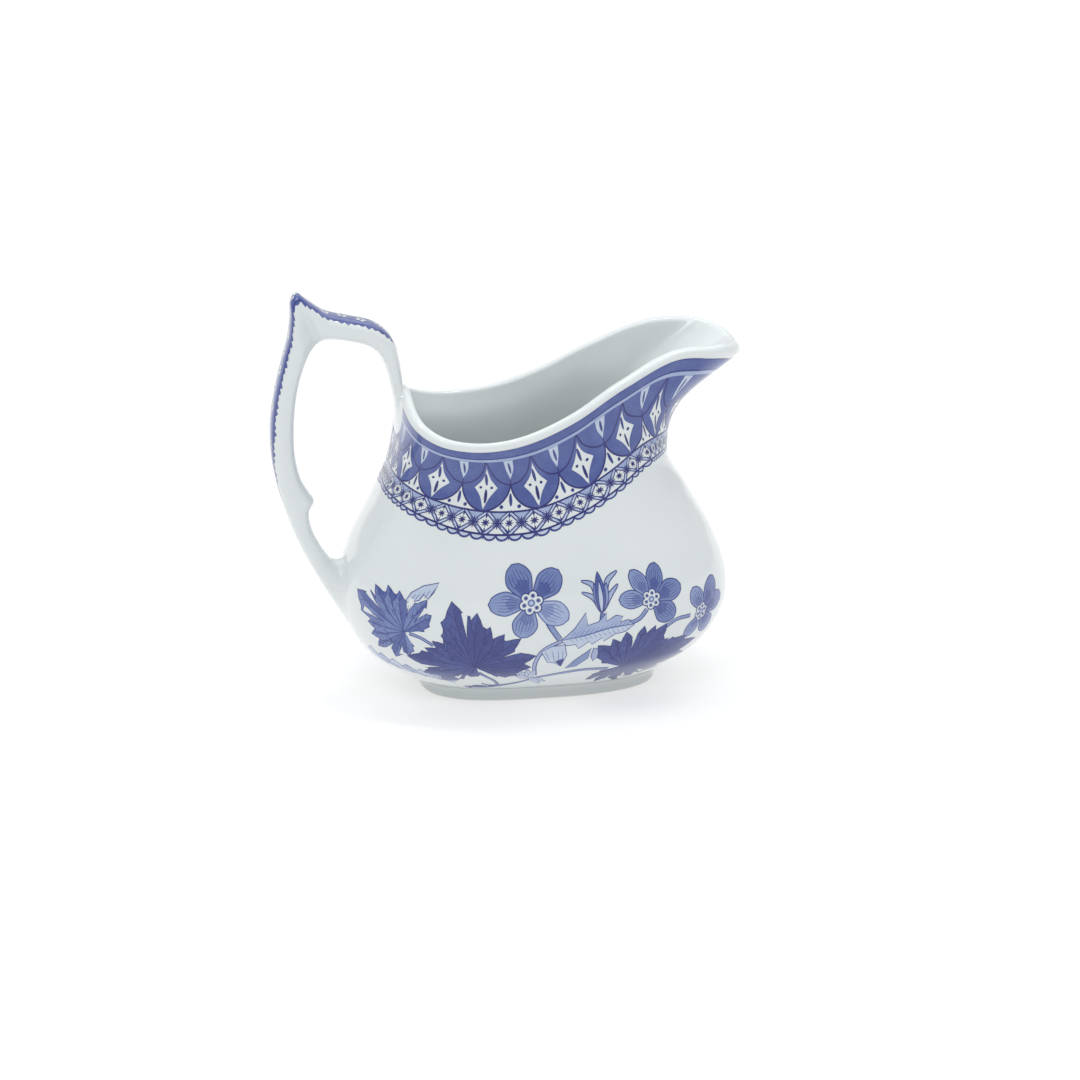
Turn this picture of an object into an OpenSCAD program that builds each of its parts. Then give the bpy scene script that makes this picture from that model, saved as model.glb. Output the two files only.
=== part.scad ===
// Porcelain cream jug: oval bellied body on a moulded foot ring, drawn-out spout,
// strap handle with a thumb spur, and blue transfer prints laid over the glaze.
// +X points to the spout, +Y across the jug, +Z up; the jug stands on Z = 0.

/* [Body] */
// Length of the belly, from its spout side to its handle side
belly_l = 111; // [95:1:125]
// Width of the belly across the jug
belly_w = 75; // [64:1:88]
// Height of the low side of the rim
rim_h = 78.6; // [70:0.1:90]
// Rise of the rim towards the spout, as a share of the designed rise
spout_lift = 1; // [0.7:0.05:1.2]
// Thickness of the cast wall
wall_t = 3.2; // [2.4:0.1:4]
// Thickness of the floor
floor_t = 3.6; // [2.5:0.1:5]

/* [Foot] */
// Height of the foot ring
foot_h = 4.4; // [3:0.1:5]
// Width of the unglazed land that the jug stands on
foot_land = 2.6; // [1.8:0.1:3.2]

/* [Handle] */
// Width of the strap, as a share of the designed width
strap_share = 1; // [0.8:0.05:1.25]
// How far the slip at each root spreads past the strap on either side
slip_spread = 2.4; // [1.5:0.1:4]

/* [Prints] */
// Thickness of a fired transfer print
print_t = 0.05; // [0.04:0.01:0.1]

/* [Hidden] */

COLS = 64;          // points round each ring of the body
ROLL_STEPS = 6;     // rings round the lip
STRAP_PTS = 20;     // points round each section of the strap
STRAP_STEPS = 3;    // rings between two designed sections of the strap
STRAP_POWER = 2.7;  // how square the strap's section is
SKIN_GAP = 0.12;    // clearance under a print, over the flats of the wall's facets
JOINT_GAP = 0.02;   // clearance where slip meets the wall
BODY_X = 6.9;       // the body's centre, ahead of the middle of the whole jug
EPS = 0.002;        // step for slopes

PORCELAIN = [0.91, 0.93, 0.93];
BISQUE = [0.86, 0.85, 0.81];
COBALT = [0.30, 0.35, 0.68];

// The designed sizes that the tables below are drawn to
kx = belly_l / 111;
ky = belly_w / 75;
kz = rim_h / 78.6;

// Body stations from the foot to the lip: share of the way up, then
// [height, reach to spout, reach to handle, half width, pinch, rise, squareness at spout, at handle]
STATION_S = [0, 0.05, 0.12, 0.22, 0.34, 0.44, 0.56, 0.68, 0.80, 0.90, 1];
STATIONS = [
    [0.0, 36.0, 32.0, 20.0, 0.00, 0.00, 2.7, 2.7],
    [3.0, 36.5, 32.5, 20.5, 0.00, 0.00, 2.7, 2.7],
    [6.0, 40.5, 38.0, 23.5, 0.00, 0.00, 2.6, 2.6],
    [13.0, 50.0, 48.0, 31.0, 0.00, 0.00, 2.5, 2.5],
    [24.0, 56.5, 54.0, 36.5, 0.00, 0.00, 2.4, 2.4],
    [33.0, 56.5, 54.5, 37.5, 0.00, 0.00, 2.4, 2.4],
    [44.0, 52.5, 51.0, 35.5, 0.00, 0.03, 2.3, 2.4],
    [55.0, 45.5, 45.0, 31.5, 0.05, 0.10, 2.3, 2.5],
    [64.5, 39.5, 40.0, 28.3, 0.20, 0.24, 2.3, 2.8],
    [71.0, 43.0, 38.0, 27.5, 0.55, 0.60, 2.4, 3.2],
    [76.9, 59.7, 37.3, 28.9, 1.00, 1.00, 2.5, 3.6]
];

// Round the jug, by angle from the spout: [rise of the rim, pinch of the mouth, lip radius]
KEY_A = [-20, 0, 20, 35, 50, 65, 80, 95, 110, 125, 140, 160, 180, 200];
KEYS = [
    [19.6, -0.06, 1.9], [18.2, -0.03, 1.9], [19.6, -0.06, 1.9], [21.7, 0.01, 1.9],
    [22.2, 0.18, 1.9], [15.8, 0.16, 1.8], [7.4, 0.075, 1.65], [2.3, 0.01, 1.5],
    [0.4, -0.01, 1.45], [1.2, 0.00, 1.45], [4.2, 0.00, 1.5], [8.5, 0.00, 1.55],
    [10.5, 0.00, 1.6], [8.5, 0.00, 1.55]
];

// Strap sections from the rim to the belly, in the handle's own plane:
// [outer x, outer z, inner x, inner z, width]; the spur is section 8, the pip section 18
STRAP = [
    [-36.3, 92.2, -39.6, 89.6, 10.6], [-37.0, 97.0, -40.8, 94.4, 10.8],
    [-38.2, 101.6, -42.3, 98.0, 11.0], [-40.4, 105.2, -44.3, 100.4, 11.2],
    [-44.8, 108.2, -47.4, 102.1, 11.3], [-51.0, 109.8, -51.5, 103.2, 11.4],
    [-57.5, 111.6, -55.2, 103.8, 11.2], [-62.4, 115.0, -58.2, 103.6, 9.6],
    [-65.6, 117.3, -60.2, 102.4, 6.4], [-67.4, 115.0, -61.6, 100.8, 8.0],
    [-67.6, 110.3, -63.0, 98.4, 9.6], [-68.4, 104.3, -64.3, 95.2, 10.2],
    [-70.2, 97.6, -65.6, 90.8, 10.2], [-72.2, 89.5, -66.6, 84.6, 10.0],
    [-73.6, 80.5, -67.0, 78.2, 9.8], [-73.6, 71.0, -66.9, 70.8, 9.6],
    [-72.4, 63.2, -65.4, 63.8, 9.5], [-71.2, 58.4, -63.0, 59.2, 9.5],
    [-70.5, 56.0, -61.8, 57.0, 9.5], [-69.5, 52.8, -63.2, 53.8, 9.5],
    [-67.9, 48.2, -62.6, 49.0, 9.6], [-65.0, 41.5, -60.0, 43.4, 9.8],
    [-61.8, 35.4, -57.4, 39.4, 10.2]
];
STRAP_I = [for (i = [0:len(STRAP) - 1]) i];

// Lower edge of the border print, by angle from the spout, and its upper edge
BORDER_A = [0, 26, 44, 62, 79, 93, 107, 121, 133, 150, 164];
BORDER_S = [0.79, 0.78, 0.75, 0.715, 0.68, 0.655, 0.65, 0.665, 0.69, 0.72, 0.735];
BORDER_TOP = 0.985;
BORDER_ROWS = 12;

function unit(v) = v / norm(v);
function smooth(u) = let (c = max(0, min(1, u))) c * c * (3 - 2 * c);

// Smooth curve through values ys at places xs, numbers or rows of numbers alike
function slope(xs, ys, i) = (ys[i + 1] - ys[i]) / (xs[i + 1] - xs[i]);
function tangent(xs, ys, i) =
    i == 0 ? slope(xs, ys, 0)
    : i == len(xs) - 1 ? slope(xs, ys, i - 1)
    : let (before = xs[i] - xs[i - 1], after = xs[i + 1] - xs[i])
      (slope(xs, ys, i - 1) * after + slope(xs, ys, i) * before) / (before + after);
function segment(xs, x) = max([for (i = [0:len(xs) - 2]) xs[i] <= x ? i : 0]);
function curve(xs, ys, x) =
    let (i = segment(xs, x), h = xs[i + 1] - xs[i], u = (x - xs[i]) / h)
    (2 * u ^ 3 - 3 * u ^ 2 + 1) * ys[i] + (u ^ 3 - 2 * u ^ 2 + u) * h * tangent(xs, ys, i)
    + (3 * u ^ 2 - 2 * u ^ 3) * ys[i + 1] + (u ^ 3 - u ^ 2) * h * tangent(xs, ys, i + 1);

// The body's outer surface: a squared oval at each station, egg-shaped towards the spout
function station(s) = curve(STATION_S, STATIONS, s);
function column(a) = concat([cos(a), sin(a)], curve(KEY_A, KEYS, abs(a)));
function wall_point(st, col) =
    let (
        c = col[0], q = col[1],
        n = st[7] + (st[6] - st[7]) * smooth((1 + c) / 2),
        r = (abs(c) ^ n + abs(q) ^ n) ^ (-1 / n),
        x = (st[1] + st[2]) / 2 * c * r + (st[1] - st[2]) / 2 * (c * r) ^ 2,
        y = st[3] * q * r * (1 - st[4] * col[3])
    )
    [x * kx + BODY_X, y * ky, (st[0] + st[5] * col[2] * spout_lift) * kz];
function wall_tangent(s, a) =
    unit(wall_point(station(s), column(a)) - wall_point(station(s - EPS), column(a)));
function wall_normal(s, a) =
    let (da = 2, st = station(s), around = wall_point(st, column(a + da)) - wall_point(st, column(a - da)))
    unit(cross(around, wall_tangent(s, a)));
function wall_at(s, a, lift = 0) = wall_point(station(s), column(a)) + wall_normal(s, a) * lift;

// Station height for a height above the table, near the foot where rings are level
function level_s(z) = lookup(z / kz, [for (i = [0:3]) [STATIONS[i][0], STATION_S[i]]]);

// Over the lip: 0 is the outer wall's top edge, 1 the inner wall's
function lip_at(v, a, lift = 0) =
    let (r = column(a)[4], n = wall_normal(1, a), t = wall_tangent(1, a))
    wall_at(1, a) - n * r + (r + lift) * (n * cos(180 * v) + t * sin(180 * v));

// The inner wall, as thick as the lip at the top and wall_t below it
function inner_at(s, a) =
    wall_at(s, a, -(wall_t + (2 * column(a)[4] - wall_t) * smooth((s - 0.8) / 0.2)));

function ring_angles() = [for (j = [0:COLS - 1]) let (a = 360 * j / COLS) a > 180 ? a - 360 : a];

// Closed solid through rings of equal length, with a single point at each end
module lofted(rings, first, last) {
    m = len(rings[0]);
    n = len(rings);
    points = concat([first], [for (r = rings, p = r) p], [last]);
    faces = concat(
        [for (j = [0:m - 1]) [0, 1 + j, 1 + (j + 1) % m]],
        [for (i = [0:n - 2], j = [0:m - 1], k = [0, 1])
            let (a = 1 + i * m + j, b = 1 + i * m + (j + 1) % m)
            k == 0 ? [a, a + m, b + m] : [a, b + m, b]],
        [for (j = [0:m - 1]) let (a = 1 + (n - 1) * m) [a + j, n * m + 1, a + (j + 1) % m]]
    );
    polyhedron(points = points, faces = faces);
}

// Closed solid through rings that themselves run round a closed path
module looped(rings) {
    m = len(rings[0]);
    n = len(rings);
    polyhedron(
        points = [for (r = rings, p = r) p],
        faces = [for (i = [0:n - 1], j = [0:m - 1], k = [0, 1])
            let (a = i * m + j, b = i * m + (j + 1) % m, c = (i + 1) % n * m)
            k == 0 ? [a, c + j, c + (j + 1) % m] : [a, c + (j + 1) % m, b]]
    );
}

// Thin closed skin between an under sheet and an upper sheet of the same grid
module skin(under, upper) {
    rows = len(under);
    cols = len(under[0]);
    half = rows * cols;
    edge = concat(
        [for (j = [0:cols - 1]) j], [for (i = [1:rows - 1]) i * cols + cols - 1],
        [for (j = [cols - 2:-1:0]) (rows - 1) * cols + j], [for (i = [rows - 2:-1:1]) i * cols]
    );
    polyhedron(
        points = concat([for (r = under, p = r) p], [for (r = upper, p = r) p]),
        faces = concat(
            [for (i = [0:rows - 2], j = [0:cols - 2], k = [0, 1])
                let (a = i * cols + j, b = a + cols)
                k == 0 ? [a, a + 1, b + 1] : [a, b + 1, b]],
            [for (i = [0:rows - 2], j = [0:cols - 2], k = [0, 1])
                let (a = half + i * cols + j, b = a + cols)
                k == 0 ? [a, b + 1, a + 1] : [a, b, b + 1]],
            [for (e = [0:len(edge) - 1], k = [0, 1])
                let (a = edge[e], b = edge[(e + 1) % len(edge)])
                k == 0 ? [a, half + b, b] : [a, half + a, half + b]]
        )
    );
}

// Slip-cast body: bowl, neck, drawn-out spout and rolled lip in one casting
module body() {
    angles = ring_angles();
    seat = level_s(foot_h);
    low_rows = [for (k = [0:5]) seat + (0.28 - seat) * k / 5];
    belly_rows = [for (k = [1:8]) 0.28 + 0.32 * k / 8];
    neck_rows = [for (k = [1:14]) 0.60 + 0.40 * k / 14];
    outer = [for (s = concat(low_rows, belly_rows, neck_rows)) [for (a = angles) wall_at(s, a)]];
    lip = [for (k = [1:ROLL_STEPS]) [for (a = angles) lip_at(k / ROLL_STEPS, a)]];
    inner = [for (k = [1:15]) [for (a = angles) inner_at(1 - 0.79 * k / 15, a)]];
    floor_z = foot_h + floor_t;
    low = inner[len(inner) - 1];
    bowl_floor = [for (f = [0.88, 0.70, 0.4]) [for (p = low)
        [BODY_X + (p[0] - BODY_X) * f, p[1] * f, floor_z + (p[2] - floor_z) * smooth(f * 1.25 - 0.4) * f]]];
    color(PORCELAIN)
    lofted(concat(outer, lip, inner, bowl_floor), [BODY_X, 0, foot_h], [BODY_X, 0, floor_z]);
}

// Oval foot ring with a flat unglazed land, luted under the body
module foot_ring() {
    top = level_s(foot_h);
    // [share of the way up the body, inset from the wall, height]
    section = [
        [0, 0.9, 0], [level_s(0.9), 0, 0.9], [level_s(2.6), 0, 2.6], [top, 0, foot_h],
        [top, 7, foot_h], [0, foot_land + 2.6, 2], [0, foot_land + 1.1, 0.4], [0, foot_land + 0.9, 0]
    ];
    color(BISQUE)
    looped([for (p = section) [for (a = ring_angles())
        let (st = station(p[0]), inset = [0, p[1], p[1], p[1], 0, 0, 0, 0], q = wall_point(st - inset, column(a)))
        [q[0], q[1], p[2]]]]);
}

// One ring round the strap at section i, grown by lift
function strap_ring(i, lift = 0, from = 0, to = 360, count = STRAP_PTS) =
    let (
        s = curve(STRAP_I, STRAP, i),
        o = [s[0] * kx + BODY_X, 0, s[1] * kz], n = [s[2] * kx + BODY_X, 0, s[3] * kz],
        out = unit(o - n), half_t = norm(o - n) / 2 + lift, half_w = s[4] / 2 * strap_share + lift
    )
    [for (j = [0:count - 1])
        let (
            a = from + (to - from) * j / (to - from == 360 ? count : count - 1),
            r = (abs(cos(a)) ^ STRAP_POWER + abs(sin(a)) ^ STRAP_POWER) ^ (-1 / STRAP_POWER)
        )
        (o + n) / 2 + out * half_t * cos(a) * r + [0, half_w * sin(a) * r, 0]];
function ring_middle(r) = [for (k = [0:2]) [for (p = r) p[k]] * [for (p = r) 1]] / len(r);

// Moulded strap handle with its thumb spur and inner pip
module handle() {
    last = len(STRAP) - 1;
    rings = [for (k = [0:last * STRAP_STEPS]) strap_ring(k / STRAP_STEPS)];
    color(PORCELAIN)
    lofted(rings, ring_middle(rings[0]), ring_middle(rings[len(rings) - 1]));
}

// A root of the handle: slip worked from the strap's end ring out to a foot on the wall.
// away points from the strap to the wall; feet holds the foot's rings, the widest first;
// upwards tells the root that the strap leaves from, whose rings run the other way
module slip(end_ring, away, feet, upwards = false) {
    full = feet[0];
    flare = [for (v = [0.25, 0.5, 0.75, 1]) [for (j = [0:STRAP_PTS - 1])
        let (a = end_ring[j], b = full[j], m = a + away * max(0, (b - a) * away) * 0.8)
        (1 - v) ^ 2 * a + 2 * v * (1 - v) * m + v ^ 2 * b]];
    rings = concat([end_ring], flare, [feet[1], feet[2]]);
    last = len(rings) - 1;
    ordered = upwards ? [for (k = [last:-1:0]) rings[k]] : rings;
    color(PORCELAIN)
    lofted(ordered, ring_middle(ordered[0]), ring_middle(ordered[last]));
}

// Upper root, from the neck's wall up over the crest of the lip
module upper_handle_slip() {
    end_ring = strap_ring(0);
    before = strap_ring(0.3);
    half = asin(min(0.9, (STRAP[0][4] / 2 * strap_share + slip_spread) / (STATIONS[10][3] * ky)));
    low = 0.88;
    feet = [for (f = [1, 0.66, 0.33]) [for (j = [0:STRAP_PTS - 1])
        let (
            w = 360 * j / STRAP_PTS, side = 180 - f * half * abs(sin(w)),
            a = sin(w) < 0 ? -side : side, v = -0.25 + f * 0.75 * cos(w)
        )
        v < 0 ? wall_at(1 + v * (1 - low), a, JOINT_GAP) : lip_at(v, a, JOINT_GAP)]];
    slip(end_ring, unit(ring_middle(end_ring) - ring_middle(before)), feet, true);
}

// Lower root, running down tangent to the belly
module lower_handle_slip() {
    last = len(STRAP) - 1;
    end_ring = strap_ring(last);
    before = strap_ring(last - 0.3);
    half = asin(min(0.9, (STRAP[last][4] / 2 * strap_share + slip_spread) / (STATIONS[5][3] * ky)));
    middle = 0.40;
    reach = 0.11;
    feet = [for (f = [1, 0.66, 0.33]) [for (j = [0:STRAP_PTS - 1])
        let (w = 360 * j / STRAP_PTS, side = 180 - f * half * abs(sin(w)))
        wall_at(middle - f * reach * cos(w), sin(w) < 0 ? -side : side, JOINT_GAP)]];
    slip(end_ring, unit(ring_middle(end_ring) - ring_middle(before)), feet);
}

// Lattice border print under the lip, from one side of the handle round to the other
module border_print() {
    reach = BORDER_A[len(BORDER_A) - 1];
    angles = [for (k = [0:58]) -reach + 2 * reach * k / 58];
    sheets = [for (lift = [SKIN_GAP, SKIN_GAP + print_t]) [for (i = [0:BORDER_ROWS]) [for (a = angles)
        let (low = lookup(abs(a), [for (k = [0:len(BORDER_A) - 1]) [BORDER_A[k], BORDER_S[k]]]))
        wall_at(low + (BORDER_TOP - low) * i / BORDER_ROWS, a, lift)]]];
    color(COBALT) skin(sheets[0], sheets[1]);
}

// Flower spray print on one flank, from near the handle round to the spout side
module spray_print(from, to) {
    steps = 30;
    heights = [0.14, 0.17, 0.21, 0.25, 0.29, 0.34, 0.39, 0.44, 0.49];
    sheets = [for (lift = [SKIN_GAP, SKIN_GAP + print_t]) [for (s = heights)
        [for (k = [0:steps]) wall_at(s, from + (to - from) * k / steps, lift)]]];
    color(COBALT) skin(sheets[0], sheets[1]);
}
module near_spray_print() { spray_print(-164, -2); }
module far_spray_print() { spray_print(2, 164); }

// Print down the outer face of the strap
module handle_print() {
    first = 1;
    last = 17;
    steps = (last - first) * 2;
    sheets = [for (lift = [SKIN_GAP, SKIN_GAP + print_t]) [for (k = [0:steps])
        strap_ring(first + (last - first) * k / steps, lift, -56, 56, 7)]];
    color(COBALT) skin(sheets[0], sheets[1]);
}

body();
foot_ring();
handle();
upper_handle_slip();
lower_handle_slip();
border_print();
near_spray_print();
far_spray_print();
handle_print();
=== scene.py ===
"""Porcelain cream jug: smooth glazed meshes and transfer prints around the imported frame.

Lengths in the design tables are millimetres from the middle of the body at table level;
meshes are made in metres in the frame's own axes.
"""

from __future__ import annotations

import logging
import math
import random
from dataclasses import dataclass
from enum import Enum
from typing import Callable, Iterable, Sequence

import bpy
import numpy as np
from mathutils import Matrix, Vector
from mathutils.geometry import delaunay_2d_cdt

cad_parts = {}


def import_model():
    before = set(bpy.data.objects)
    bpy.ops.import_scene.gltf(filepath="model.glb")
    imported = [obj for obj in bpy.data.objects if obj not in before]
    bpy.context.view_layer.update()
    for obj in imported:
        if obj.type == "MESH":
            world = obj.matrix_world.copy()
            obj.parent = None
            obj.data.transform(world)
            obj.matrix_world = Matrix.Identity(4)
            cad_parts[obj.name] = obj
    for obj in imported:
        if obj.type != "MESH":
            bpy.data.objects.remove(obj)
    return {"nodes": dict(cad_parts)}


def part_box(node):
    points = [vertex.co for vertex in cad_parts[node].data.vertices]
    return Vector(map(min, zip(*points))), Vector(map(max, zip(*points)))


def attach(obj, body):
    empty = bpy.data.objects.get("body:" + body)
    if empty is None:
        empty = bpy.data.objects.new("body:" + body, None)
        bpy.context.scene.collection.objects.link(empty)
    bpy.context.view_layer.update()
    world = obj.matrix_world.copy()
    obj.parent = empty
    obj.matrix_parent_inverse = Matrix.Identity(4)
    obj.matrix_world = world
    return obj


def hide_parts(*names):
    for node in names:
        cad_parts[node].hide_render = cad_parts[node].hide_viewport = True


LOG = logging.getLogger("cream_jug")
MM = 0.001
ROOT = "root"
# the face attribute that carries the plate's tone
INK = "ink"
# the plate's grid is moved sideways by this much, so that it misses the corners of the marks
GRID_NUDGE = 0.013
# plate points closer than this are one point
SNAP = 1e-5
Point = tuple[float, float]
Places = Callable[[np.ndarray, float], tuple[np.ndarray, np.ndarray]]


class Slot(Enum):
    """Material slots of the record that the pieces take their finish from."""

    GLAZED = "glazed_porcelain"
    FOOT = "foot_porcelain"
    PRINT = "cobalt_print"


class Tone(Enum):
    """Depths of cobalt on the engraved plate, from bare glaze to the cut line."""

    BARE = -1.0
    WASH = 0.06
    PALE = 0.22
    SOFT = 0.36
    MID = 0.50
    FULL = 0.62
    DARK = 0.70
    DEEP = 0.76
    LINE = 0.95


# ---------------------------------------------------------------- curves


class SmoothTable:
    """A smooth curve through values at given places; values may be rows of numbers."""

    def __init__(self, places: Sequence[float], values: Sequence) -> None:
        """Keep the places and values and work out the slope at each place.

        Args:
            places: Rising places along the curve.
            values: One number, or one row of numbers, for each place.
        """
        self.x = np.asarray(places, float)
        self.y = np.asarray(values, float)
        if self.y.ndim == 1:
            self.y = self.y[:, None]
        h = np.diff(self.x)[:, None]
        d = np.diff(self.y, axis=0) / h
        self.m = np.vstack([d[:1], (d[:-1] * h[1:] + d[1:] * h[:-1]) / (h[:-1] + h[1:]), d[-1:]])

    def __call__(self, x: np.ndarray | float) -> np.ndarray:
        """Read the curve.

        Args:
            x: Places to read at, of any shape.

        Returns:
            Values, with one more axis than x.
        """
        x = np.asarray(x, float)
        i = np.clip(np.searchsorted(self.x, x, side="right") - 1, 0, len(self.x) - 2)
        h = (self.x[i + 1] - self.x[i])[..., None]
        u = ((x - self.x[i])[..., None]) / h
        return (
            (2 * u**3 - 3 * u**2 + 1) * self.y[i]
            + (u**3 - 2 * u**2 + u) * h * self.m[i]
            + (3 * u**2 - 2 * u**3) * self.y[i + 1]
            + (u**3 - u**2) * h * self.m[i + 1]
        )


def unit(v: np.ndarray) -> np.ndarray:
    """Scale vectors on the last axis to length 1."""
    return v / np.maximum(np.linalg.norm(v, axis=-1, keepdims=True), 1e-12)


def smoothstep(u: np.ndarray | float) -> np.ndarray:
    """Ease from 0 to 1 as u goes from 0 to 1."""
    c = np.clip(u, 0, 1)
    return c * c * (3 - 2 * c)


def arc_lengths(points: np.ndarray) -> np.ndarray:
    """Length along a run of points, from its first."""
    return np.concatenate([[0], np.cumsum(np.linalg.norm(np.diff(points, axis=0), axis=1))])


# ---------------------------------------------------------------- the jug's form


@dataclass
class JugForm:
    """The body's outer wall, lip and inner wall, by angle from the spout and share of the way up."""

    body_x: float = 6.9
    design_half_width: float = 37.5
    wall: float = 3.2
    floor: float = 3.6
    foot_height: float = 4.4
    step: float = 0.002
    kx: float = 1.0
    ky: float = 1.0
    kz: float = 1.0
    station_s: tuple = (0, 0.05, 0.12, 0.22, 0.34, 0.44, 0.56, 0.68, 0.80, 0.90, 1)
    # height, reach to spout, reach to handle, half width, pinch, rise, squareness at spout, at handle
    stations: tuple = (
        (0.0, 36.0, 32.0, 20.0, 0.00, 0.00, 2.7, 2.7),
        (3.0, 36.5, 32.5, 20.5, 0.00, 0.00, 2.7, 2.7),
        (6.0, 40.5, 38.0, 23.5, 0.00, 0.00, 2.6, 2.6),
        (13.0, 50.0, 48.0, 31.0, 0.00, 0.00, 2.5, 2.5),
        (24.0, 56.5, 54.0, 36.5, 0.00, 0.00, 2.4, 2.4),
        (33.0, 56.5, 54.5, 37.5, 0.00, 0.00, 2.4, 2.4),
        (44.0, 52.5, 51.0, 35.5, 0.00, 0.03, 2.3, 2.4),
        (55.0, 45.5, 45.0, 31.5, 0.05, 0.10, 2.3, 2.5),
        (64.5, 39.5, 40.0, 28.3, 0.20, 0.24, 2.3, 2.8),
        (71.0, 43.0, 38.0, 27.5, 0.55, 0.60, 2.4, 3.2),
        (76.9, 59.7, 37.3, 28.9, 1.00, 1.00, 2.5, 3.6),
    )
    key_angles: tuple = (-20, 0, 20, 35, 50, 65, 80, 95, 110, 125, 140, 160, 180, 200)
    # rise of the rim, pinch of the mouth, lip radius
    keys: tuple = (
        (19.6, -0.06, 1.9), (18.2, -0.03, 1.9), (19.6, -0.06, 1.9), (21.7, 0.01, 1.9),
        (22.2, 0.18, 1.9), (15.8, 0.16, 1.8), (7.4, 0.075, 1.65), (2.3, 0.01, 1.5),
        (0.4, -0.01, 1.45), (1.2, 0.00, 1.45), (4.2, 0.00, 1.5), (8.5, 0.00, 1.55),
        (10.5, 0.00, 1.6), (8.5, 0.00, 1.55),
    )
    # shallow mould creases down the shoulder: angle, depth, half width in degrees
    creases: tuple = (
        (30, 0.42, 2.6), (63, 0.14, 2.0), (80, 0.10, 1.8), (137, 0.16, 2.2), (153, 0.12, 2.0),
    )
    crease_low: float = 0.53
    crease_high: float = 0.72
    inside_share: float = 0.9998

    def __post_init__(self) -> None:
        """Build the two tables and take the three scales from the frame."""
        self._stations = SmoothTable(self.station_s, self.stations)
        self._keys = SmoothTable(self.key_angles, self.keys)
        low, high = (np.array(c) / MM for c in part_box("body"))
        self.ky = high[1] / self.design_half_width
        self.kz = high[2] / self.design_top()
        self.kx = (high[0] - low[0]) / self.design_length() * self.inside_share

    def design_top(self) -> float:
        """Height of the rim's highest point as the tables are drawn."""
        angles = np.linspace(0, 90, 181)
        return float(self.lip(np.full_like(angles, 0.5), angles)[:, 2].max())

    def design_length(self) -> float:
        """Length of the body from belly to spout tip as the tables are drawn.

        Returns:
            The length, in millimetres before scaling.
        """
        s = np.linspace(0.05, 1, 400)
        back = self.wall_points(s, np.full_like(s, 180.0))[:, 0].min()
        v = np.linspace(0, 0.5, 40)
        return float(self.lip(v, np.zeros_like(v))[:, 0].max() - back)

    def column(self, angle: np.ndarray) -> tuple[np.ndarray, np.ndarray, np.ndarray]:
        """Cosine, sine and keyed values at angles in degrees.

        Args:
            angle: Degrees from the spout, positive to +Y.

        Returns:
            Cosines, sines, and rows of rim rise, pinch and lip radius.
        """
        a = np.asarray(angle, float)
        a = (a + 180) % 360 - 180
        return np.cos(np.radians(a)), np.sin(np.radians(a)), self._keys(np.abs(a))

    def wall_points(self, s: np.ndarray, angle: np.ndarray) -> np.ndarray:
        """Points of the outer wall without its creases.

        Args:
            s: Share of the way up, 0 at the table and 1 at the lip.
            angle: Degrees from the spout, positive to +Y.

        Returns:
            Points in millimetres.
        """
        st = self._stations(s)
        c, q, key = self.column(angle)
        n = st[..., 7] + (st[..., 6] - st[..., 7]) * smoothstep((1 + c) / 2)
        r = (np.abs(c) ** n + np.abs(q) ** n) ** (-1 / n)
        x = (st[..., 1] + st[..., 2]) / 2 * c * r + (st[..., 1] - st[..., 2]) / 2 * (c * r) ** 2
        y = st[..., 3] * q * r * (1 - st[..., 4] * key[..., 1])
        z = st[..., 0] + st[..., 5] * key[..., 0]
        return np.stack([x * self.kx + self.body_x, y * self.ky, z * self.kz], -1)

    def tangent(self, s: np.ndarray, angle: np.ndarray) -> np.ndarray:
        """Upward direction along the wall."""
        s = np.asarray(s, float)
        return unit(self.wall_points(s, angle) - self.wall_points(s - self.step, angle))

    def normal(self, s: np.ndarray, angle: np.ndarray) -> np.ndarray:
        """Outward direction of the wall."""
        around = self.wall_points(s, angle + 1.0) - self.wall_points(s, angle - 1.0)
        return unit(np.cross(around, self.tangent(s, angle)))

    def crease(self, s: np.ndarray, angle: np.ndarray) -> np.ndarray:
        """Depth of the mould creases, in millimetres.

        Args:
            s: Share of the way up, 0 at the table and 1 at the lip.
            angle: Degrees from the spout, positive to +Y.

        Returns:
            The depths.
        """
        a = np.abs((np.asarray(angle, float) + 180) % 360 - 180)
        depth = sum(d * np.exp(-(((a - at) / w) ** 2)) for at, d, w in self.creases)
        mid = (self.crease_low + self.crease_high) / 2
        half = (self.crease_high - self.crease_low) / 2
        return depth * smoothstep(1.25 * (1 - np.abs(np.asarray(s, float) - mid) / half))

    def outer(self, s: np.ndarray, angle: np.ndarray, lift: float = 0.0) -> np.ndarray:
        """Points on the outer wall with its creases, lifted off it by a distance."""
        out = lift - self.crease(s, angle)
        return self.wall_points(s, angle) + self.normal(s, angle) * np.asarray(out)[..., None]

    def lip(self, v: np.ndarray, angle: np.ndarray, lift: float = 0.0) -> np.ndarray:
        """Points over the rolled lip, from the outer wall at v = 0 to the inner wall at v = 1.

        Args:
            v: Place over the lip, 0 on the outer wall and 1 on the inner.
            angle: Degrees from the spout, positive to +Y.
            lift: Distance off the surface, in millimetres.

        Returns:
            Points in millimetres.
        """
        angle = np.asarray(angle, float)
        top = np.ones_like(angle)
        r = self.column(angle)[2][..., 2:3]
        n, t = self.normal(top, angle), self.tangent(top, angle)
        turn = (np.asarray(v, float) * math.pi)[..., None]
        return self.wall_points(top, angle) - n * r + (r + lift) * (n * np.cos(turn) + t * np.sin(turn))

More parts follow.
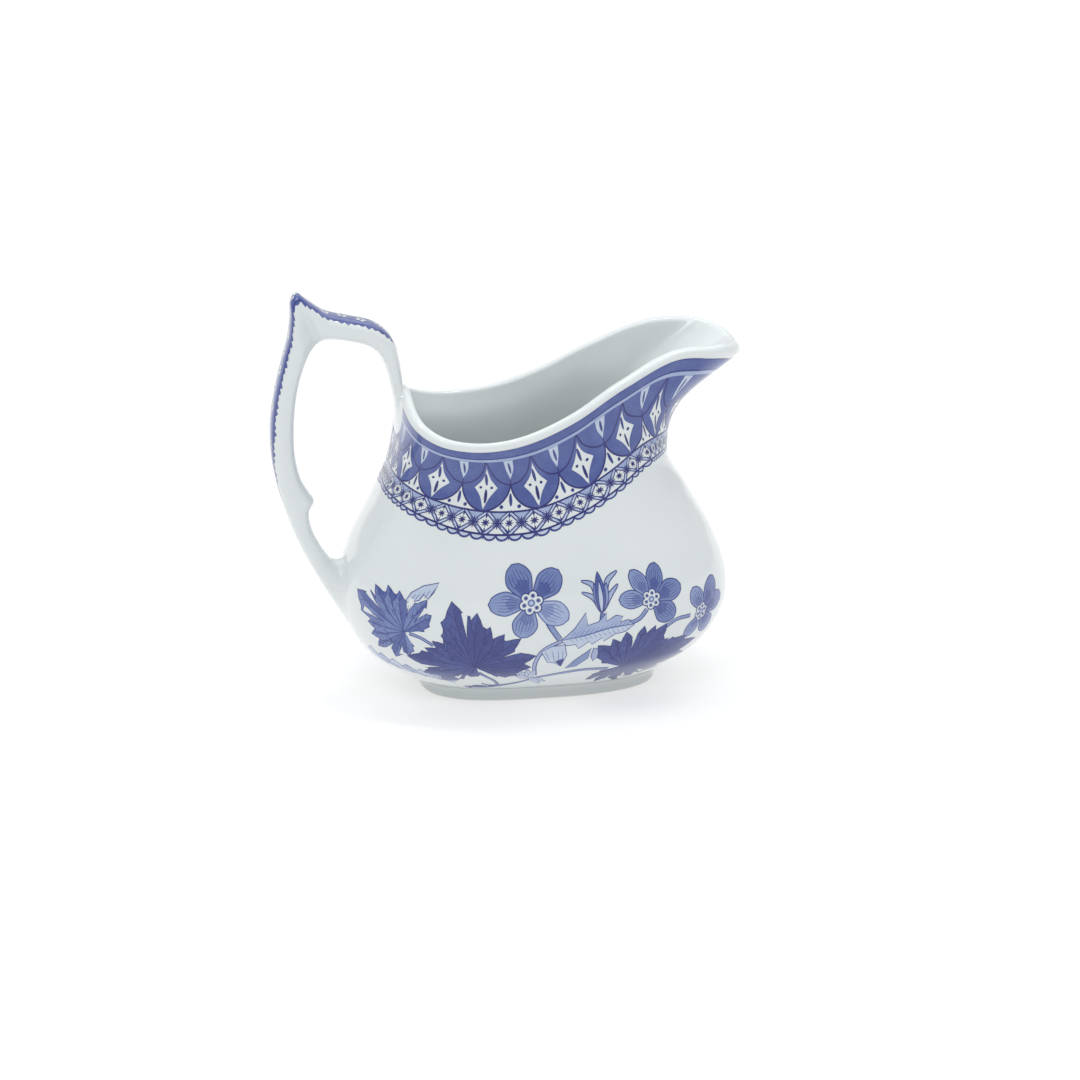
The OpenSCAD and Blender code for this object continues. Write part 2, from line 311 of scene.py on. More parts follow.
    def inner(self, s: np.ndarray, angle: np.ndarray) -> np.ndarray:
        """Points on the inner wall.

        Args:
            s: Share of the way up, 0 at the table and 1 at the lip.
            angle: Degrees from the spout, positive to +Y.

        Returns:
            Points in millimetres.
        """
        r = self.column(angle)[2][..., 2]
        thick = self.wall + (2 * r - self.wall) * smoothstep((np.asarray(s, float) - 0.8) / 0.2)
        return self.wall_points(s, angle) - self.normal(s, angle) * thick[..., None]

    def seat(self) -> float:
        """Share of the way up where the body sits on its foot ring."""
        heights = [row[0] for row in self.stations[:4]]
        return float(np.interp(self.foot_height / self.kz, heights, self.station_s[:4]))


@dataclass
class StrapForm:
    """The strap handle's surface, by section and angle round the section."""

    form: JugForm
    power: float = 2.7
    # outer x, outer z, inner x, inner z, width
    sections: tuple = (
        (-36.3, 92.2, -39.6, 89.6, 10.6), (-37.0, 97.0, -40.8, 94.4, 10.8),
        (-38.2, 101.6, -42.3, 98.0, 11.0), (-40.4, 105.2, -44.3, 100.4, 11.2),
        (-44.8, 108.2, -47.4, 102.1, 11.3), (-51.0, 109.8, -51.5, 103.2, 11.4),
        (-57.5, 111.6, -55.2, 103.8, 11.2), (-62.4, 115.0, -58.2, 103.6, 9.6),
        (-65.6, 117.3, -60.2, 102.4, 6.4), (-67.4, 115.0, -61.6, 100.8, 8.0),
        (-67.6, 110.3, -63.0, 98.4, 9.6), (-68.4, 104.3, -64.3, 95.2, 10.2),
        (-70.2, 97.6, -65.6, 90.8, 10.2), (-72.2, 89.5, -66.6, 84.6, 10.0),
        (-73.6, 80.5, -67.0, 78.2, 9.8), (-73.6, 71.0, -66.9, 70.8, 9.6),
        (-72.4, 63.2, -65.4, 63.8, 9.5), (-71.2, 58.4, -63.0, 59.2, 9.5),
        (-70.5, 56.0, -61.8, 57.0, 9.5), (-69.5, 52.8, -63.2, 53.8, 9.5),
        (-67.9, 48.2, -62.6, 49.0, 9.6), (-65.0, 41.5, -60.0, 43.4, 9.8),
        (-61.8, 35.4, -57.4, 39.4, 10.2),
    )

    def __post_init__(self) -> None:
        """Build the table of sections."""
        self._table = SmoothTable(range(len(self.sections)), self.sections)

    def last(self) -> float:
        """Number of the last section."""
        return float(len(self.sections) - 1)

    def points(self, i: np.ndarray, angle: np.ndarray, lift: float = 0.0) -> np.ndarray:
        """Points on the strap.

        Args:
            i: Section number, from 0 at the rim.
            angle: Degrees round the section, 0 at the middle of the outer face.
            lift: Distance off the surface.

        Returns:
            Points in millimetres.
        """
        s = self._table(i)
        f = self.form
        zero = np.zeros_like(s[..., 0])
        out = np.stack([s[..., 0] * f.kx + f.body_x, zero, s[..., 1] * f.kz], -1)
        inn = np.stack([s[..., 2] * f.kx + f.body_x, zero, s[..., 3] * f.kz], -1)
        axis = unit(out - inn)
        half_t = np.linalg.norm(out - inn, axis=-1) / 2 + lift
        half_w = s[..., 4] / 2 + lift
        c, q = np.cos(np.radians(angle)), np.sin(np.radians(angle))
        r = (np.abs(c) ** self.power + np.abs(q) ** self.power) ** (-1 / self.power)
        side = np.stack([zero, half_w * q * r, zero], -1)
        return (out + inn) / 2 + axis * (half_t * c * r)[..., None] + side

    def ring(self, i: float, count: int) -> np.ndarray:
        """One closed ring of points round section i."""
        angle = np.arange(count) * 360 / count
        return self.points(np.full(count, float(i)), angle)


# ---------------------------------------------------------------- meshes


def new_object(name: str, points: np.ndarray, faces: Sequence, smooth: bool = True) -> bpy.types.Object:
    """Make a mesh object from points in millimetres.

    Args:
        name: The piece's name.
        points: Corner points, in millimetres.
        faces: Corner numbers of each face.
        smooth: Whether its faces are shaded smooth.

    Returns:
        The object, linked to the scene.
    """
    mesh = bpy.data.meshes.new(name)
    mesh.from_pydata((np.asarray(points) * MM).tolist(), [], [list(f) for f in faces])
    mesh.polygons.foreach_set("use_smooth", [smooth] * len(mesh.polygons))
    piece = bpy.data.objects.new(name, mesh)
    bpy.context.scene.collection.objects.link(piece)
    return piece


def lofted(
    name: str, rings: Sequence[np.ndarray], first: np.ndarray, last: np.ndarray
) -> bpy.types.Object:
    """Close a stack of rings of equal length with a single point at each end.

    Args:
        name: The piece's name.
        rings: Closed rings of points, all of one length.
        first: The point that closes the first ring.
        last: The point that closes the last ring.

    Returns:
        The closed piece.
    """
    m, n = len(rings[0]), len(rings)
    points = np.vstack([first[None], *rings, last[None]])
    j = np.arange(m)
    k = (j + 1) % m
    faces: list = [(0, 1 + b, 1 + a) for a, b in zip(j, k)]
    for i in range(n - 1):
        low, high = 1 + i * m, 1 + (i + 1) * m
        faces += [(low + a, low + b, high + b, high + a) for a, b in zip(j, k)]
    top = 1 + (n - 1) * m
    faces += [(top + a, top + b, n * m + 1) for a, b in zip(j, k)]
    return new_object(name, points, faces)


def dress(
    piece: bpy.types.Object, material: bpy.types.Material, slot: Slot, *nodes: str
) -> bpy.types.Object:
    """Give a piece its material, ride it on the jug and hide the CAD nodes that it stands for.

    Args:
        piece: The piece.
        material: Its material.
        slot: The record's slot that its finish comes from; not used.
        nodes: CAD nodes that it stands for.

    Returns:
        The same piece.
    """
    piece.data.materials.append(material)
    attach(piece, ROOT)
    if nodes:
        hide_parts(*nodes)
    LOG.info("%s: %d faces", piece.name, len(piece.data.polygons))
    return piece


# ---------------------------------------------------------------- finishes


class NodeGraph:
    """Short hand for wiring a material's nodes."""

    def __init__(self, name: str) -> None:
        """Start a material with only its shader and output.

        Args:
            name: The material's name.
        """
        self.material = bpy.data.materials.new(name)
        self.material.use_nodes = True
        self.tree = self.material.node_tree
        self.shader = self.tree.nodes["Principled BSDF"]

    def add(self, kind: str, **values: object) -> bpy.types.Node:
        """Add a node and set its own properties or its input sockets by name.

        Args:
            kind: The node's type.
            values: Properties and sockets; an underscore stands for a space.

        Returns:
            The node.
        """
        node = self.tree.nodes.new(kind)
        for key, value in values.items():
            if hasattr(node, key):
                setattr(node, key, value)
            else:
                node.inputs[key.replace("_", " ")].default_value = value
        return node

    def link(self, source: bpy.types.NodeSocket, target: bpy.types.NodeSocket) -> None:
        """Join two sockets."""
        self.tree.links.new(source, target)

    def set(self, **values: object) -> None:
        """Set sockets on the shader; an underscore stands for a space."""
        for key, value in values.items():
            self.shader.inputs[key.replace("_", " ")].default_value = value

    def ramp(
        self, factor: bpy.types.NodeSocket, stops: Iterable[tuple[float, tuple]]
    ) -> bpy.types.Node:
        """Add a colour ramp with the given stops.

        Args:
            factor: The socket that drives the ramp.
            stops: Place and colour of each stop.

        Returns:
            The ramp.
        """
        node = self.tree.nodes.new("ShaderNodeValToRGB")
        stops = list(stops)
        while len(node.color_ramp.elements) < len(stops):
            node.color_ramp.elements.new(0.5)
        for element, (place, colour) in zip(node.color_ramp.elements, stops):
            element.position = place
            element.color = (*colour, 1.0)
        self.link(factor, node.inputs["Fac"])
        return node

    def noise(self, scale: float, detail: float = 3.0) -> bpy.types.Node:
        """Add a noise in the object's own coordinates, scale in cycles a metre.

        Args:
            scale: Cycles a metre.
            detail: How many finer layers it has.

        Returns:
            The noise.
        """
        place = self.add("ShaderNodeTexCoord")
        node = self.add("ShaderNodeTexNoise", Scale=scale, Detail=detail)
        self.link(place.outputs["Object"], node.inputs["Vector"])
        return node

    def bump(self, height: bpy.types.NodeSocket, strength: float, distance: float) -> None:
        """Raise the surface by a height.

        Args:
            height: The socket that gives the height.
            strength: Share of the bump that shows.
            distance: Height of a full bump, in metres.
        """
        node = self.add("ShaderNodeBump", Strength=strength, Distance=distance)
        self.link(height, node.inputs["Height"])
        self.link(node.outputs["Normal"], self.shader.inputs["Normal"])


@dataclass(frozen=True)
class GlazedPorcelain:
    """White porcelain under a clear gloss glaze that pools a little and ripples faintly."""

    name: str = "glazed_porcelain"
    clay: tuple = (0.730, 0.765, 0.765)
    cool: tuple = (0.690, 0.730, 0.737)
    pool_scale: float = 28.0
    roughness: float = 0.085
    wear_scale: float = 160.0
    least_wear: float = 0.8
    most_wear: float = 1.35
    glaze_ior: float = 1.52
    coat: float = 0.55
    coat_roughness: float = 0.03
    coat_ior: float = 1.5
    ripple_scale: float = 55.0
    ripple_strength: float = 0.55
    ripple_height: float = 0.00048
    subsurface: float = 0.10
    subsurface_depth: float = 0.0025
    subsurface_radius: tuple = (1.0, 0.9, 0.8)

    def make(self) -> bpy.types.Material:
        """Build the material.

        Returns:
            The material.
        """
        g = NodeGraph(self.name)
        pool = g.noise(self.pool_scale, 2.0)
        tint = g.ramp(pool.outputs["Fac"], [(0.30, self.clay), (0.72, self.cool)])
        g.link(tint.outputs["Color"], g.shader.inputs["Base Color"])
        wear = g.noise(self.wear_scale, 4.0)
        low, high = self.roughness * self.least_wear, self.roughness * self.most_wear
        rough = g.ramp(wear.outputs["Fac"], [(0.3, (low,) * 3), (0.75, (high,) * 3)])
        g.link(rough.outputs["Color"], g.shader.inputs["Roughness"])
        ripple = g.noise(self.ripple_scale, 1.5)
        g.bump(ripple.outputs["Fac"], self.ripple_strength, self.ripple_height)
        g.set(IOR=self.glaze_ior, Coat_Weight=self.coat, Coat_Roughness=self.coat_roughness)
        g.set(Coat_IOR=self.coat_ior, Subsurface_Weight=self.subsurface)
        g.set(Subsurface_Scale=self.subsurface_depth, Subsurface_Radius=self.subsurface_radius)
        return g.material


@dataclass(frozen=True)
class FootPorcelain:
    """The foot ring: glazed at its side in a darker colour that is painted shade from the belly above,
    and wiped bare and slightly stained on its land.
    """

    name: str = "foot_porcelain"
    # painted shade: the foot's glaze is darker than the body's glaze to stand for the shadow under the
    # belly
    glaze_with_painted_shade: tuple = (0.560, 0.595, 0.595)
    bare: tuple = (0.600, 0.580, 0.520)
    stain: tuple = (0.420, 0.390, 0.330)
    land_top: float = 0.0006
    edge_blur: float = 0.0002
    ragged_scale: float = 420.0
    ragged_height: float = 0.0006
    grit_scale: float = 900.0
    grit_strength: float = 0.15
    grit_height: float = 0.0002
    bare_roughness: float = 0.75
    glazed_roughness: float = 0.10
    glaze_ior: float = 1.52

    def make(self) -> bpy.types.Material:
        """Build the material, with the bare clay below a height above the table.

        Returns:
            The material.
        """
        g = NodeGraph(self.name)
        place = g.add("ShaderNodeTexCoord")
        split = g.add("ShaderNodeSeparateXYZ")
        g.link(place.outputs["Object"], split.inputs["Vector"])
        ragged = g.noise(self.ragged_scale, 4.0)
        edge = g.add("ShaderNodeMath", operation="MULTIPLY_ADD")
        edge.inputs[1].default_value = self.ragged_height
        g.link(ragged.outputs["Fac"], edge.inputs[0])
        g.link(split.outputs["Z"], edge.inputs[2])
        low = self.land_top - self.edge_blur
        bare = g.add("ShaderNodeMapRange", From_Min=low, From_Max=self.land_top)
        g.link(edge.outputs["Value"], bare.inputs["Value"])
        grit = g.noise(self.grit_scale, 6.0)
        clay = g.ramp(grit.outputs["Fac"], [(0.35, self.stain), (0.60, self.bare)])
        mix = g.add("ShaderNodeMix", data_type="RGBA")
        g.link(bare.outputs["Result"], mix.inputs["Factor"])
        g.link(clay.outputs["Color"], mix.inputs["A"])
        # the glazed side takes the darker colour, which is painted shade under the belly
        mix.inputs["B"].default_value = (*self.glaze_with_painted_shade, 1.0)
        g.link(mix.outputs["Result"], g.shader.inputs["Base Color"])
        ends = [(0.0, (self.bare_roughness,) * 3), (1.0, (self.glazed_roughness,) * 3)]
        rough = g.ramp(bare.outputs["Result"], ends)
        g.link(rough.outputs["Color"], g.shader.inputs["Roughness"])
        g.bump(grit.outputs["Fac"], self.grit_strength, self.grit_height)
        g.set(IOR=self.glaze_ior)
        return g.material


@dataclass(frozen=True)
class CobaltInk:
    """Cobalt fired under the glaze: its depth follows the plate's tones and varies as ink does."""

    name: str = "cobalt_ink"
    # plate tone and the colour it fires to
    stops: tuple = (
        (0.00, (0.530, 0.600, 0.710)),
        (0.22, (0.320, 0.390, 0.590)),
        (0.36, (0.200, 0.265, 0.490)),
        (0.50, (0.122, 0.175, 0.400)),
        (0.62, (0.055, 0.088, 0.300)),
        (0.76, (0.018, 0.034, 0.205)),
        (0.95, (0.007, 0.010, 0.140)),
    )
    blotch_scale: float = 260.0
    blotch: float = 0.16
    grain_scale: float = 1900.0
    grain: float = 0.10
    roughness: float = 0.09
    glaze_ior: float = 1.52
    coat: float = 0.55
    coat_roughness: float = 0.03
    coat_ior: float = 1.5

    def make(self) -> bpy.types.Material:
        """Build the material, which reads the plate's tone from the mesh.

        Returns:
            The material.
        """
        g = NodeGraph(self.name)
        tone = g.add("ShaderNodeAttribute", attribute_type="GEOMETRY", attribute_name=INK)
        level = tone.outputs["Fac"]
        for scale, amount in ((self.blotch_scale, self.blotch), (self.grain_scale, self.grain)):
            cloud = g.noise(scale, 3.0)
            shift = g.add("ShaderNodeMath", operation="MULTIPLY_ADD")
            shift.inputs[1].default_value = amount
            g.link(cloud.outputs["Fac"], shift.inputs[0])
            g.link(level, shift.inputs[2])
            level = shift.outputs["Value"]
        centre = g.add("ShaderNodeMath", operation="SUBTRACT")
        centre.inputs[1].default_value = (self.blotch + self.grain) / 2
        g.link(level, centre.inputs[0])
        ramp = g.ramp(centre.outputs["Value"], self.stops)
        g.link(ramp.outputs["Color"], g.shader.inputs["Base Color"])
        g.set(Roughness=self.roughness, IOR=self.glaze_ior, Coat_Weight=self.coat)
        g.set(Coat_Roughness=self.coat_roughness, Coat_IOR=self.coat_ior)
        return g.material


@dataclass(frozen=True)
class PaleFloor:
    """A plain pale studio floor that glows a little, so that shadows on it stay soft."""

    name: str = "pale_floor"
    light: tuple = (0.50, 0.50, 0.50)
    dim: tuple = (0.48, 0.48, 0.48)
    cloud_scale: float = 6.0
    glow_colour: tuple = (1.0, 1.0, 1.0, 1.0)
    glow: float = 0.52
    roughness: float = 0.9
    specular: float = 0.1

    def make(self) -> bpy.types.Material:
        """Build the material.

        Returns:
            The material.
        """
        g = NodeGraph(self.name)
        cloud = g.noise(self.cloud_scale, 2.0)
        tint = g.ramp(cloud.outputs["Fac"], [(0.3, self.dim), (0.7, self.light)])
        g.link(tint.outputs["Color"], g.shader.inputs["Base Color"])
        g.set(Roughness=self.roughness, Specular_IOR_Level=self.specular)
        g.set(Emission_Color=self.glow_colour, Emission_Strength=self.glow)
        return g.material


# ---------------------------------------------------------------- clay pieces


@dataclass
class CastBody:
    """Slip-cast body: bowl, neck, drawn-out spout and rolled lip."""

    form: JugForm
    columns: int = 320
    outer_rows: int = 130
    lip_rows: int = 14
    inner_rows: int = 74
    inner_low: float = 0.21
    floor_rows: int = 26
    floor_heart: float = 0.06
    floor_flat: float = 0.35

    def rings(self) -> list[np.ndarray]:
        """Rings from the seat up the outside, over the lip and down to the floor.

        Returns:
            The rings, in millimetres.
        """
        f = self.form
        angle = np.arange(self.columns) * 360 / self.columns
        flat = np.ones_like(angle)
        rows = [f.outer(flat * s, angle) for s in np.linspace(f.seat(), 1, self.outer_rows)]
        rows += [f.lip(flat * v, angle) for v in np.linspace(0, 1, self.lip_rows)[1:]]
        rows += [f.inner(flat * s, angle) for s in np.linspace(1, self.inner_low, self.inner_rows)[1:]]
        return rows

    def floor_rings(self, low: np.ndarray) -> list[np.ndarray]:
        """Rings that round the wall into the floor of the bowl.

        Args:
            low: The lowest ring of the inner wall.

        Returns:
            The rings, from the wall to the middle.
        """
        f = self.form
        floor_z = f.foot_height + f.floor
        out = []
        for share in np.linspace(1, self.floor_heart, self.floor_rows)[1:]:
            ring = low.copy()
            ring[:, 0] = f.body_x + (low[:, 0] - f.body_x) * share
            ring[:, 1] = low[:, 1] * share
            ease = smoothstep((share - self.floor_flat) / (1 - self.floor_flat)) * share
            ring[:, 2] = floor_z + (low[:, 2] - floor_z) * ease
            out.append(ring)
        return out

    def build(self, material: bpy.types.Material) -> bpy.types.Object:
        """Make the body and dress it.

        Args:
            material: The glazed porcelain.

        Returns:
            The body.
        """
        f = self.form
        rings = self.rings()
        rings += self.floor_rings(rings[-1])
        under = np.array([f.body_x, 0.0, f.foot_height])
        over = np.array([f.body_x, 0.0, f.foot_height + f.floor])
        return dress(lofted("jug_body", rings, under, over), material, Slot.GLAZED, "body")


@dataclass
class FootRing:
    """Oval foot ring with a flat bare land."""

    form: JugForm
    columns: int = 320
    land: float = 2.6
    toe: float = 0.9
    toe_rows: int = 7
    side_low: float = 1.0
    side_rows: int = 8
    hollow_inset: float = 7.0
    # inset past the land and height of the corners under the ring
    hollow: tuple = ((3.6, 3.3), (2.6, 2.0), (1.5, 0.7), (1.1, 0.25), (0.9, 0.0))

    def profile(self) -> list[tuple[float, float]]:
        """Inset from the wall and height of each corner of the ring's section.

        Returns:
            Pairs of inset and height.
        """
        h = self.form.foot_height
        turns = np.linspace(0, math.pi / 2, self.toe_rows)[:-1]
        toe = [(self.toe * (1 - math.sin(a)), self.toe * (1 - math.cos(a))) for a in turns]
        side = [(0.0, z) for z in np.linspace(self.side_low, h, self.side_rows)]
        under = [(self.land + inset, z) for inset, z in self.hollow]
        return toe + side + [(self.hollow_inset, h)] + under

    def build(self, material: bpy.types.Material) -> bpy.types.Object:
        """Make the ring and dress it.

        Args:
            material: The foot porcelain.

        Returns:
            The foot ring.
        """
        f = self.form
        angle = np.arange(self.columns) * 360 / self.columns
        flat = np.ones_like(angle)
        rings = []
        for inset, z in self.profile():
            share = float(np.interp(z / f.kz, [row[0] for row in f.stations[:4]], f.station_s[:4]))
            share = 0.0 if inset > self.land else share
            ring = f.wall_points(flat * share, angle)
            if inset > 0:
                ring -= f.normal(flat * 0.02, angle) * np.array([1, 1, 0]) * inset
            ring[:, 2] = z
            rings.append(ring)
        m, n = self.columns, len(rings)
        faces = []
        for i in range(n):
            low, high = i * m, (i + 1) % n * m
            faces += [(low + a, low + (a + 1) % m, high + (a + 1) % m, high + a) for a in range(m)]
        piece = new_object("jug_foot_ring", np.vstack(rings), faces)
        return dress(piece, material, Slot.FOOT, "foot_ring")


@dataclass
class StrapHandle:
    """Moulded strap with its thumb spur and inner pip."""

    strap: StrapForm
    around: int = 72
    steps: int = 14
    edge: float = 0.003

    def build(self, material: bpy.types.Material) -> bpy.types.Object:
        """Make the strap and dress it.

        Args:
            material: The glazed porcelain.

        Returns:
            The strap.
        """
        last = self.strap.last()
        count = int(last * self.steps) + 1
        levels = np.linspace(0, last, count)
        levels = np.concatenate([[0.0, self.edge], levels[1:-1], [last - self.edge, last]])
        rings = [self.strap.ring(i, self.around) for i in levels]
        piece = lofted("jug_handle", rings, rings[0].mean(0), rings[-1].mean(0))
        return dress(piece, material, Slot.GLAZED, "handle")


class Root(Enum):
    """The two roots of the handle."""

    UPPER = "upper_handle_slip"
    LOWER = "lower_handle_slip"


@dataclass
class HandleSlip:
    """Slip worked from the strap's end out on to the wall, smooth at both."""

    strap: StrapForm
    root: Root
    around: int = 72
    flare_rows: int = 22
    spread: float = 3.4
    gap: float = 0.015
    sunk: float = 0.5
    swell: float = 0.05

    def foot(self, share: float, lift: float) -> np.ndarray:
        """A ring of the slip's foot, at a share of its full size and lifted off the wall.

        Args:
            share: Share of the foot's full size.
            lift: Distance off the surface, in millimetres.

        Returns:
            The ring, in millimetres.
        """
        f = self.strap.form
        w = np.arange(self.around) * 2 * math.pi / self.around
        upper = self.root is Root.UPPER
        section = self.strap.sections[0 if upper else -1]
        wide = f.stations[10 if upper else 5][3] * f.ky
        half = math.degrees(math.asin((section[4] / 2 + self.spread) / wide))
        angle = 180 - share * half * np.sin(w)
        if not upper:
            return f.outer(0.40 - share * 0.115 * np.cos(w), angle, lift)
        v = -0.25 + share * 0.75 * np.cos(w)
        low = f.outer(1 + np.minimum(v, 0) * 0.12, angle, lift)
        high = f.lip(np.maximum(v, 0), angle, lift)
        return np.where((v < 0)[:, None], low, high)

    def build(self, material: bpy.types.Material) -> bpy.types.Object:
        """Make the slip and dress it.

        Args:
            material: The glazed porcelain.

        Returns:
            The slip.
        """
        last = self.strap.last()
        at, inside = (0.0, 0.4) if self.root is Root.UPPER else (last, last - 0.4)
        end, before = self.strap.ring(at, self.around), self.strap.ring(inside, self.around)
        away = unit(end - before)
        full, less = self.foot(1.0, self.gap), self.foot(0.8, self.gap)
        out = unit(self.foot(1.0, 1.0) - full)
        reach = np.linalg.norm(full - end, axis=1, keepdims=True)
        leave = end + away * reach * 0.42
        arrive = full - unit(full - less) * reach * 0.40 + out * reach * self.swell
        rings = [before * 0.15 + end * 0.85, end]
        for v in np.concatenate([[0.004], np.linspace(0, 1, self.flare_rows)[1:-1], [0.996, 1.0]]):
            u = 1 - v
            rings.append(u**3 * end + 3 * u * u * v * leave + 3 * u * v * v * arrive + v**3 * full)
        rings += [self.foot(share, -self.sunk) for share in (0.97, 0.7, 0.35)]
        rings[0] = rings[0].mean(0) + (rings[0] - rings[0].mean(0)) * 0.97
        if self.root is Root.UPPER:
            rings.reverse()
        piece = lofted("jug_" + self.root.value, rings, rings[0].mean(0), rings[-1].mean(0))
        return dress(piece, material, Slot.GLAZED, self.root.value)


# ---------------------------------------------------------------- engraved plates


def circle(centre: Point, radius: float, count: int = 14) -> np.ndarray:
    """A round outline."""
    a = np.arange(count) * 2 * math.pi / count
    return np.stack([centre[0] + radius * np.cos(a), centre[1] + radius * np.sin(a)], -1)


def smooth_line(points: Sequence[Point], count: int) -> np.ndarray:
    """A smooth open line through points.

    Args:
        points: Points that the line goes through.
        count: How many points to give.

    Returns:
        Points along the line.
    """
    p = np.asarray(points, float)
    if len(p) == 2:
        return p[0] + (p[1] - p[0]) * np.linspace(0, 1, count)[:, None]
    along = arc_lengths(p)
    return SmoothTable(along, p)(np.linspace(0, along[-1], count))


def edges_of(line: np.ndarray, half: np.ndarray, closed: bool = False) -> tuple[np.ndarray, np.ndarray]:
    """Left and right edges of a line of varying width.

    Args:
        line: The line's points.
        half: Half width at each point.
        closed: Whether its last point joins its first.

    Returns:
        The left edge and the right edge.
    """
    if closed:
        t = unit(np.roll(line, -1, axis=0) - np.roll(line, 1, axis=0))
    else:
        t = unit(np.gradient(line, axis=0))
    side = np.stack([-t[:, 1], t[:, 0]], -1) * np.asarray(half)[:, None]
    return line + side, line - side


def ribbon(line: np.ndarray, half: np.ndarray) -> np.ndarray:
    """Outline of an open line of varying width."""
    left, right = edges_of(line, half)
    return np.vstack([left, right[::-1]])


def inside(points: np.ndarray, outline: np.ndarray) -> np.ndarray:
    """Which points an outline winds round.

    Args:
        points: Points to test.
        outline: Corners of a closed outline, which may cross itself.

    Returns:
        One truth value for each point.
    """
    a, b = outline, np.roll(outline, -1, axis=0)
    x, y = points[:, :1], points[:, 1:]
    left = (b[:, 0] - a[:, 0]) * (y - a[:, 1]) - (x - a[:, 0]) * (b[:, 1] - a[:, 1])
    rising = (a[:, 1] <= y) & (y < b[:, 1]) & (left > 0)
    falling = (b[:, 1] <= y) & (y < a[:, 1]) & (left < 0)
    return rising.sum(1) != falling.sum(1)


def local(root: Point, tip: Point, points: Sequence[Point] | np.ndarray) -> np.ndarray:
    """Turn points given along and across a unit axis into points between root and tip.

    Args:
        root: Where the axis starts.
        tip: Where it ends.
        points: Shares along the axis, and distances across it.

    Returns:
        Plate points.
    """
    root, tip = np.asarray(root, float), np.asarray(tip, float)
    axis = tip - root
    length = np.linalg.norm(axis)
    across = np.array([-axis[1], axis[0]]) / length
    p = np.asarray(points, float)
    return root + p[:, :1] * axis + p[:, 1:] * across


def blade(root: Point, tip: Point, along: np.ndarray, half: np.ndarray) -> np.ndarray:
    """Outline of a blade from root to tip, with a half width at each share of its length."""
    left, right = np.stack([along, half], -1), np.stack([along, -half], -1)
    return local(root, tip, np.vstack([left, right[::-1]]))


